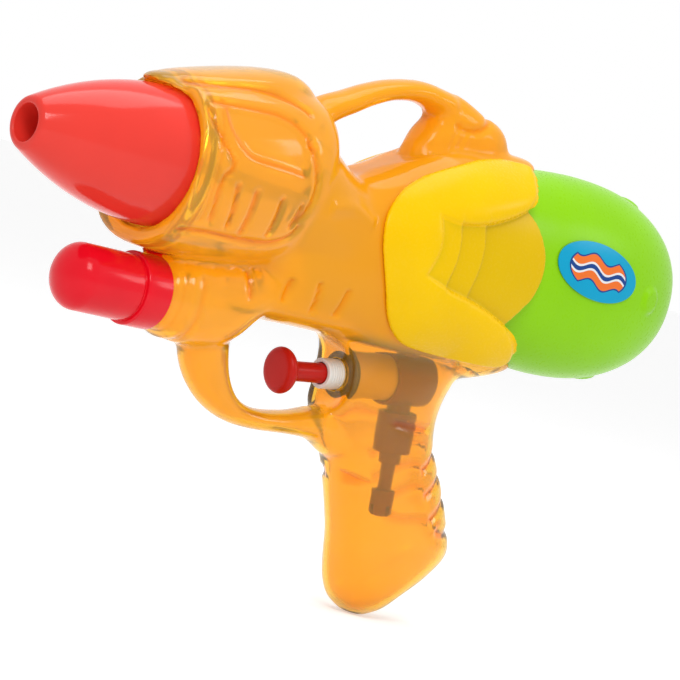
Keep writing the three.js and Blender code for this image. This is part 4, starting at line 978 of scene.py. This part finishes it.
# Outlet hose: a soft clear tube pushed on the outlet valve's nipple, led forward through the waist and the
# drum, and pushed on the jet nozzle's nipple. It is held at both ends.
hose_radius = 2.9
hose_wall = 1
valve_top = valve_place @ Vector(((outlet_top + fit_gap) / 1000, 0, 0))
above_valve = valve_place @ Vector(((nipple_top + 1) / 1000, 0, 0))
hose_points = [(171, -9), (150, -7), (110, -4), (70, -1), (29.8, nose_height), (19.8, nose_height)]
hose_route = [valve_top, above_valve] + [from_tip(x, 0, z) for x, z in hose_points]
hose_lengths = np.cumsum([0] + [(b - a).length for a, b in zip(hose_route, hose_route[1:])])
hose_rows = [[length, 1000 * point.x, 1000 * point.z] for length, point in zip(hose_lengths, hose_route)]


def hose_run(share):
    """Middle of the hose and the directions across it, in millimetres."""
    length = share * hose_lengths[-1]
    x, z = section_at(hose_rows, length)
    ahead = section_at(hose_rows, length + 0.0002)
    run = Vector((ahead[0] - x, 0, ahead[1] - z)).normalized()
    across = Vector((0, 1, 0))
    return Vector((x, 0, z)), across, run.cross(across)


hose = rolled("hose", 160, 24, hose_radius, hose_run)
finished(hose, "SOLIDIFY", thickness=hose_wall / 1000, offset=-1)
clear_hose = plastic("clear_hose", (0.95, 0.9, 0.82), 0.25, Transmission_Weight=0.85, IOR=1.4)
fitted(hose, clear_hose, "outlet_hose", sharp=60)

# Tank and its seal: an opaque blow-moulded lime green tank with four soft round pads near its rear end, whose
# neck is pressed through a rubber ring into the body's rear wall.
tank_neck_front = 187.3
tank_neck_radius = 14
tank_wall = 1.8
pad_place = 69
pad_radius = 4.4
pad_height = 1.1
tank = form_along("tank", tank_table, tank_front, tank_power, rings=150, sides=216)
points, normals = mesh_arrays(tank)
pad_top, pad_bottom, pad_side = section_at(tank_table, pad_place)
for pad_y, pad_z in ((0, pad_top), (0, pad_bottom), (-pad_side, tank_middle), (pad_side, tank_middle)):
    from_pad = np.linalg.norm(points - np.array([tank_front + pad_place, pad_y, pad_z]), axis=1)
    points += pad_height * ramp(pad_radius - from_pad, -0.9, 0.9)[:, None] * normals
move_points(tank, points)
cut(tank, disc("tank_neck", tank_neck_front, tank_front + 3, tank_neck_radius, tank_axis), "UNION")
tank_length = tank_table[-1][0]
shorter = 1 - 2 * tank_wall / tank_length
inner_table = [
    [place * shorter + tank_wall, top - tank_wall, bottom + tank_wall, wide - tank_wall]
    for place, top, bottom, wide in tank_table
]
cut(tank, form_along("tank_hollow", inner_table, tank_front, tank_power))
tank_neck_bore = tank_neck_radius - tank_wall
cut(tank, disc("tank_way_in", tank_neck_front - 1, tank_front + 4, tank_neck_bore, tank_axis))
lime_green = plastic("lime_green", (0.285, 0.69, 0.002), 0.28, bump=0.002, Specular_IOR_Level=0.15)
fitted(tank, lime_green, "tank_shell")
tank_seal = turned("tank_ring", ring(body_rear - 1.8, body_rear, 14.4, 17.4), tank_axis, rounding=0.5)
fitted(tank_seal, black_rubber, "tank_seal")

# Label: a thin printed film stuck on the tank's left side, a blue oval with a plain band of waves. It follows
# the tank's curve and its print is made by nodes on the oval's own axes.
label_x = tank_front + 38.2
label_z = -1.8
label_half_length = 19.6
label_half_height = 9.6
label_tilt = radians(-6)
label_thickness = 0.35


def tank_half_width(x, z, swell):
    """Half width of the tank at a place in the side view."""
    top, bottom, half_width = section_at(tank_table, x - tank_front)
    up = abs(z - tank_middle) / ((top - bottom) / 2 + swell)
    return (half_width + swell) * (1 - up ** tank_power) ** (1 / tank_power)


label = added("label", bpy.ops.mesh.primitive_grid_add, x_subdivisions=72, y_subdivisions=48)
for vertex in label.data.vertices:
    u, v = vertex.co.xy
    along = label_half_length * u * (1 - v * v / 2) ** 0.5
    up = label_half_height * v * (1 - u * u / 2) ** 0.5
    x = label_x + along * cos(label_tilt) - up * sin(label_tilt)
    z = label_z + along * sin(label_tilt) + up * cos(label_tilt)
    vertex.co = from_tip(x, -tank_half_width(x, z, fit_gap), z)
finished(label, "SOLIDIFY", thickness=label_thickness / 1000, offset=1)
label_film = plastic("label_film", (0.002, 0.38, 0.64), 0.24, Specular_IOR_Level=0.15)
tree = label_film.node_tree
unit_oval = node_of(
    tree,
    "Mapping",
    {"vector_type": "TEXTURE"},
    Vector=node_of(tree, "TexCoord").outputs["Object"],
    Location=from_tip(label_x, 0, label_z),
    Rotation=(0, -label_tilt, 0),
    Scale=(label_half_length / 1000, 1, label_half_height / 1000),
)
split = node_of(tree, "SeparateXYZ", Vector=unit_oval.outputs["Vector"])
u, v = split.outputs["X"], split.outputs["Z"]
squares = [worked(tree, "MULTIPLY", side, side) for side in (u, v)]
from_middle = worked(tree, "SQRT", worked(tree, "ADD", *squares))
wave_count = 9
wave_height = 0.13
wave = worked(tree, "SINE", worked(tree, "MULTIPLY", u, wave_count))
wave = worked(tree, "ADD", v, worked(tree, "MULTIPLY", wave, wave_height))
colour = own_tint(tree)
deep_blue = (0.01, 0.06, 0.28)
print_white = (0.84, 0.86, 0.88)
print_orange = (0.92, 0.19, 0.03)
for half_band, reach, ink in (
    (0.5, 0.74, deep_blue), (0.44, 0.7, print_orange), (0.16, 0.7, print_white), (0.08, 0.7, deep_blue),
):
    above = worked(tree, "GREATER_THAN", wave, -half_band)
    band = worked(tree, "MULTIPLY", above, worked(tree, "LESS_THAN", wave, half_band))
    within = worked(tree, "LESS_THAN", from_middle, reach)
    colour = painted(tree, colour, ink, worked(tree, "MULTIPLY", band, within))
shown(tree, Base_Color=colour)
fitted(label, label_film, "tank_label")

# Side covers: two glossy yellow moulded shells, mirror images, pressed over the joint of body and tank. Each
# has a thin front edge, two raised wings, and between them a fan that steps down to the rear.


def outline_of(*runs):
    """A closed outline in the side view of smooth runs that meet at corners, measured from the sides' end."""
    return np.concatenate([smooth_line(run)[:-1] for run in runs]) + np.array([side_rear, 0])


def depth_inside(flat, outline):
    """Distance in the side view inside a closed outline, below zero outside it."""
    best = np.full(len(flat), 1e9)
    inside = np.zeros(len(flat), bool)
    for start, end in zip(outline, np.roll(outline, -1, axis=0)):
        run, gap, t = from_run(flat, start, end)
        best = np.minimum(best, np.hypot(gap[:, 0], gap[:, 1]))
        spans = (start[1] > flat[:, 1]) != (end[1] > flat[:, 1])
        reach = start[0] + (flat[:, 1] - start[1]) / (run[1] or 1) * run[0]
        inside ^= spans & (flat[:, 0] < reach)
    return np.where(inside, best, -best)


cover_front = [
    (-33.4, -42.6), (-50, -41.6), (-58.3, -38.2), (-64.3, -32.6), (-69.4, -23.9), (-74, -13.7),
    (-75.4, -7), (-74.2, 0.2), (-67, 9), (-54.5, 17), (-37, 24), (-22, 27.2),
]
upper_tip = [
    (-22, 27.2), (-14.5, 27.4), (-12.4, 25.6), (-13, 22), (-13.8, 18.5), (-14.6, 15.6), (-16.5, 12.3),
]
fan_edge = [(-16.5, 12.3), (-11, 8), (-6, 0.5), (-4.3, -7), (-6, -15), (-10, -21), (-14.5, -27)]
lower_tip = [(-14.5, -27), (-8.5, -31.5), (-5.4, -36), (-7, -40.5), (-13, -42.2), (-33.4, -42.6)]
cover_outline = outline_of(cover_front, upper_tip, fan_edge, lower_tip)
fan_front = [(-57.3, -16.9), (-54.4, -7), (-55.8, 2.6)]
fan_top = [(-55.8, 2.6), (-47.7, 1.9), (-35, 4.1), (-24.3, 8.2), (-16.5, 12.3)]
fan_back = [(-16.5, 12.3), (18, 12.3)]
fan_end = [(18, 12.3), (18, -27)]
fan_under = [(18, -27), (-14.5, -27)]
fan_bottom = [(-14.5, -27), (-31, -22.2), (-45.5, -19.8), (-57.3, -16.9)]
fan_outline = outline_of(fan_front, fan_top, fan_back, fan_end, fan_under, fan_bottom)
step_arc = [(-9, -60), (-2.4, -22), (0, -7.6), (-1.8, 6), (-8, 40)]
step_places = (-46, -34.5)
step_rise = 1.6
wing_step = 0.45
wing_roll = 6
tip_edge = 0.6
tip_roll = 2.5
plate_height = 1.2
wing_height = 5.6
edge_height = 1.4
edge_reach = 18
plate_inside = -6
plate_reach = -0.04
cover_voxel = 0.00045
cover = form_along("cover", side_table, middle_front, rings=220, sides=360)
points, normals = mesh_arrays(cover)
flat = points[:, [0, 2]]
step_lines = [[(side_rear + place + x, z) for x, z in step_arc] for place in step_places]
height = np.full(len(points), plate_height)
for line in step_lines:
    height += step_rise * ramp(line_distance(flat, line)[0], -0.4, 0.4)
fan_depth = depth_inside(flat, fan_outline)
roll = np.clip(-fan_depth / wing_roll, 0, 1)
raised = wing_step * ramp(-fan_depth, -0.4, 0.4) + (1 - wing_step) * np.sqrt(1 - (1 - roll) ** 2)
height += (wing_height - height) * raised
from_front, from_upper, from_lower = [
    np.abs(line_distance(flat, [(side_rear + x, z) for x, z in run])[0])
    for run in (cover_front, upper_tip, lower_tip)
]
from_rear = np.minimum(from_upper, from_lower)
height = edge_height + (height - edge_height) * np.sin(pi / 2 * np.clip(from_front / edge_reach, 0, 1))
rounding = np.clip(from_rear / tip_roll, 0, 1)
height *= tip_edge + (1 - tip_edge) * np.sqrt(1 - (1 - rounding) ** 2)
move_points(cover, points + height[:, None] * normals)
plate = added("plate", bpy.ops.mesh.primitive_circle_add, vertices=len(cover_outline), fill_type="NGON")
for vertex, (x, z) in zip(plate.data.vertices, cover_outline):
    vertex.co = from_tip(x, plate_inside, z)
edited(plate, bpy.ops.mesh.extrude_region_move, TRANSFORM_OT_translate={"value": (0, plate_reach, 0)})
cut(cover, outward(plate), "INTERSECT")
seat_end = rear_place + 2 * fit_gap
seat_table = side_table[:-2] + [[seat_end, *section_at(side_table, seat_end)]]
cut(cover, form_along("middle_seat", seat_table, middle_front, swell=fit_gap, rings=120, sides=160))
cut(cover, form_along("tank_seat", tank_table, tank_front, tank_power, fit_gap, rings=120, sides=160))
for name, table in (("fin_seat", fin_table), ("tongue_seat", tongue_table), ("tail_seat", tail_table)):
    cut(cover, form_along(name, table, side_rear, swell=fit_gap))
remeshed(cover, cover_voxel)
smoothed(cover, 4)
points, normals = mesh_arrays(cover)
flat = points[:, [0, 2]]
fan_depth = depth_inside(flat, fan_outline)
# Painted shade on the fan's outer face: a darker yellow over the whole fan, more in bands along its edges and
# under the upper wing, and more on each plate behind a step, most just behind it.
shade_fade = 1.8
shade = 0.15 + 0.5 * np.exp(-np.abs(fan_depth) / shade_fade)
for line in step_lines:
    behind = -line_distance(flat, line)[0]
    shade += ramp(behind, -0.3, 0.3) * (0.22 + 0.4 * np.exp(-np.abs(behind) / shade_fade))
shade *= ramp(fan_depth, -0.2, 0.4) * ramp(-normals[:, 1], 0.2, 0.5)
note(cover, "shade", np.clip(shade, 0, 1))
alone(cover)
bpy.ops.object.duplicate()
other_cover = bpy.context.object
other_cover.name = "cover_mirrored"
outward(placed(other_cover, Matrix.Scale(-1, 4, (0, 1, 0))))
yellow = plastic("yellow", (0.98, 0.6, 0.0), 0.26, bump=0.002, Specular_IOR_Level=0.12)
tree = yellow.node_tree
# The fan's painted shade mixes the yellow towards a darker yellow.
shaded_yellow = (0.7, 0.47, 0.0)
shown(tree, Base_Color=painted(tree, own_tint(tree), shaded_yellow, noted(tree, "shade")))
fitted(cover, yellow, "cover_left", sharp=60)
fitted(other_cover, yellow, "cover_right", sharp=60)

# Floor, light and camera: a white floor and background under three soft lamps, seen from the toy's left front
# with a long lens. Both look pure white to the camera and light the toy less than they look.


def seen_rays(tree):
    """One for rays from the camera, a gloss or a clear wall, zero for the light that falls on things."""
    path = node_of(tree, "LightPath").outputs
    seen = worked(tree, "MAXIMUM", path["Is Camera Ray"], path["Is Glossy Ray"])
    return worked(tree, "MAXIMUM", seen, path["Is Transmission Ray"])


floor_drop = 0.0002
floor_glow = 0.45
floor_place = (0, 0, cad_box[0][2] - floor_drop)
floor = added("floor", bpy.ops.mesh.primitive_plane_add, size=30, location=floor_place)
white = bpy.data.materials.new("floor_white")
white.use_nodes = True
tree = white.node_tree
shown(tree, Base_Color=(0.9, 0.9, 0.9, 1), Roughness=0.9)
glow = node_of(tree, "Emission", Strength=worked(tree, "MULTIPLY", seen_rays(tree), floor_glow))
both = node_of(tree, "AddShader")
tree.links.new(tree.nodes["Principled BSDF"].outputs["BSDF"], both.inputs[0])
tree.links.new(glow.outputs["Emission"], both.inputs[1])
tree.links.new(both.outputs["Shader"], tree.nodes["Material Output"].inputs["Surface"])
floor.data.materials.append(white)

world = bpy.data.worlds.new("studio_white")
bpy.context.scene.world = world
world.use_nodes = True
tree = world.node_tree
level = node_of(tree, "MapRange", Value=seen_rays(tree), To_Min=0.5, To_Max=1.0)
background = tree.nodes["Background"]
fed(tree, background.inputs["Strength"], level.outputs["Result"])
fed(tree, background.inputs["Color"], (1, 1, 1, 1))

aim = from_tip(149.3, 0, -45.35)
for name, offset, size, power in (
    ("key", (-0.7, -0.9, 0.9), 0.5, 7.2),
    ("top", (0.1, 0.1, 1.2), 0.8, 5.5),
    ("fill", (0.87, -0.78, 0.57), 0.3, 1.3),
):
    bpy.ops.object.light_add(type="AREA", location=aim + Vector(offset))
    lamp = bpy.context.object
    lamp.name = name
    lamp.data.size = size
    lamp.data.energy = power
    lamp.rotation_euler = (-Vector(offset)).to_track_quat("-Z", "Y").to_euler()

bpy.ops.object.camera_add()
camera = bpy.context.object
camera.name = "photo_camera"
camera.data.lens = 205.7
camera.data.sensor_width = 36
camera_distance = 1.2997
azimuth, elevation, lean = radians(-42), radians(2), radians(14.6)
camera_turn = Matrix.Rotation(azimuth, 4, "Z") @ Matrix.Rotation(pi / 2 - elevation, 4, "X")
camera_turn @= Matrix.Rotation(lean, 4, "Z")
camera.matrix_world = Matrix.Translation(aim) @ camera_turn @ Matrix.Translation((0, 0, camera_distance))
bpy.context.scene.camera = camera
bpy.context.scene.view_settings.view_transform = "Standard"
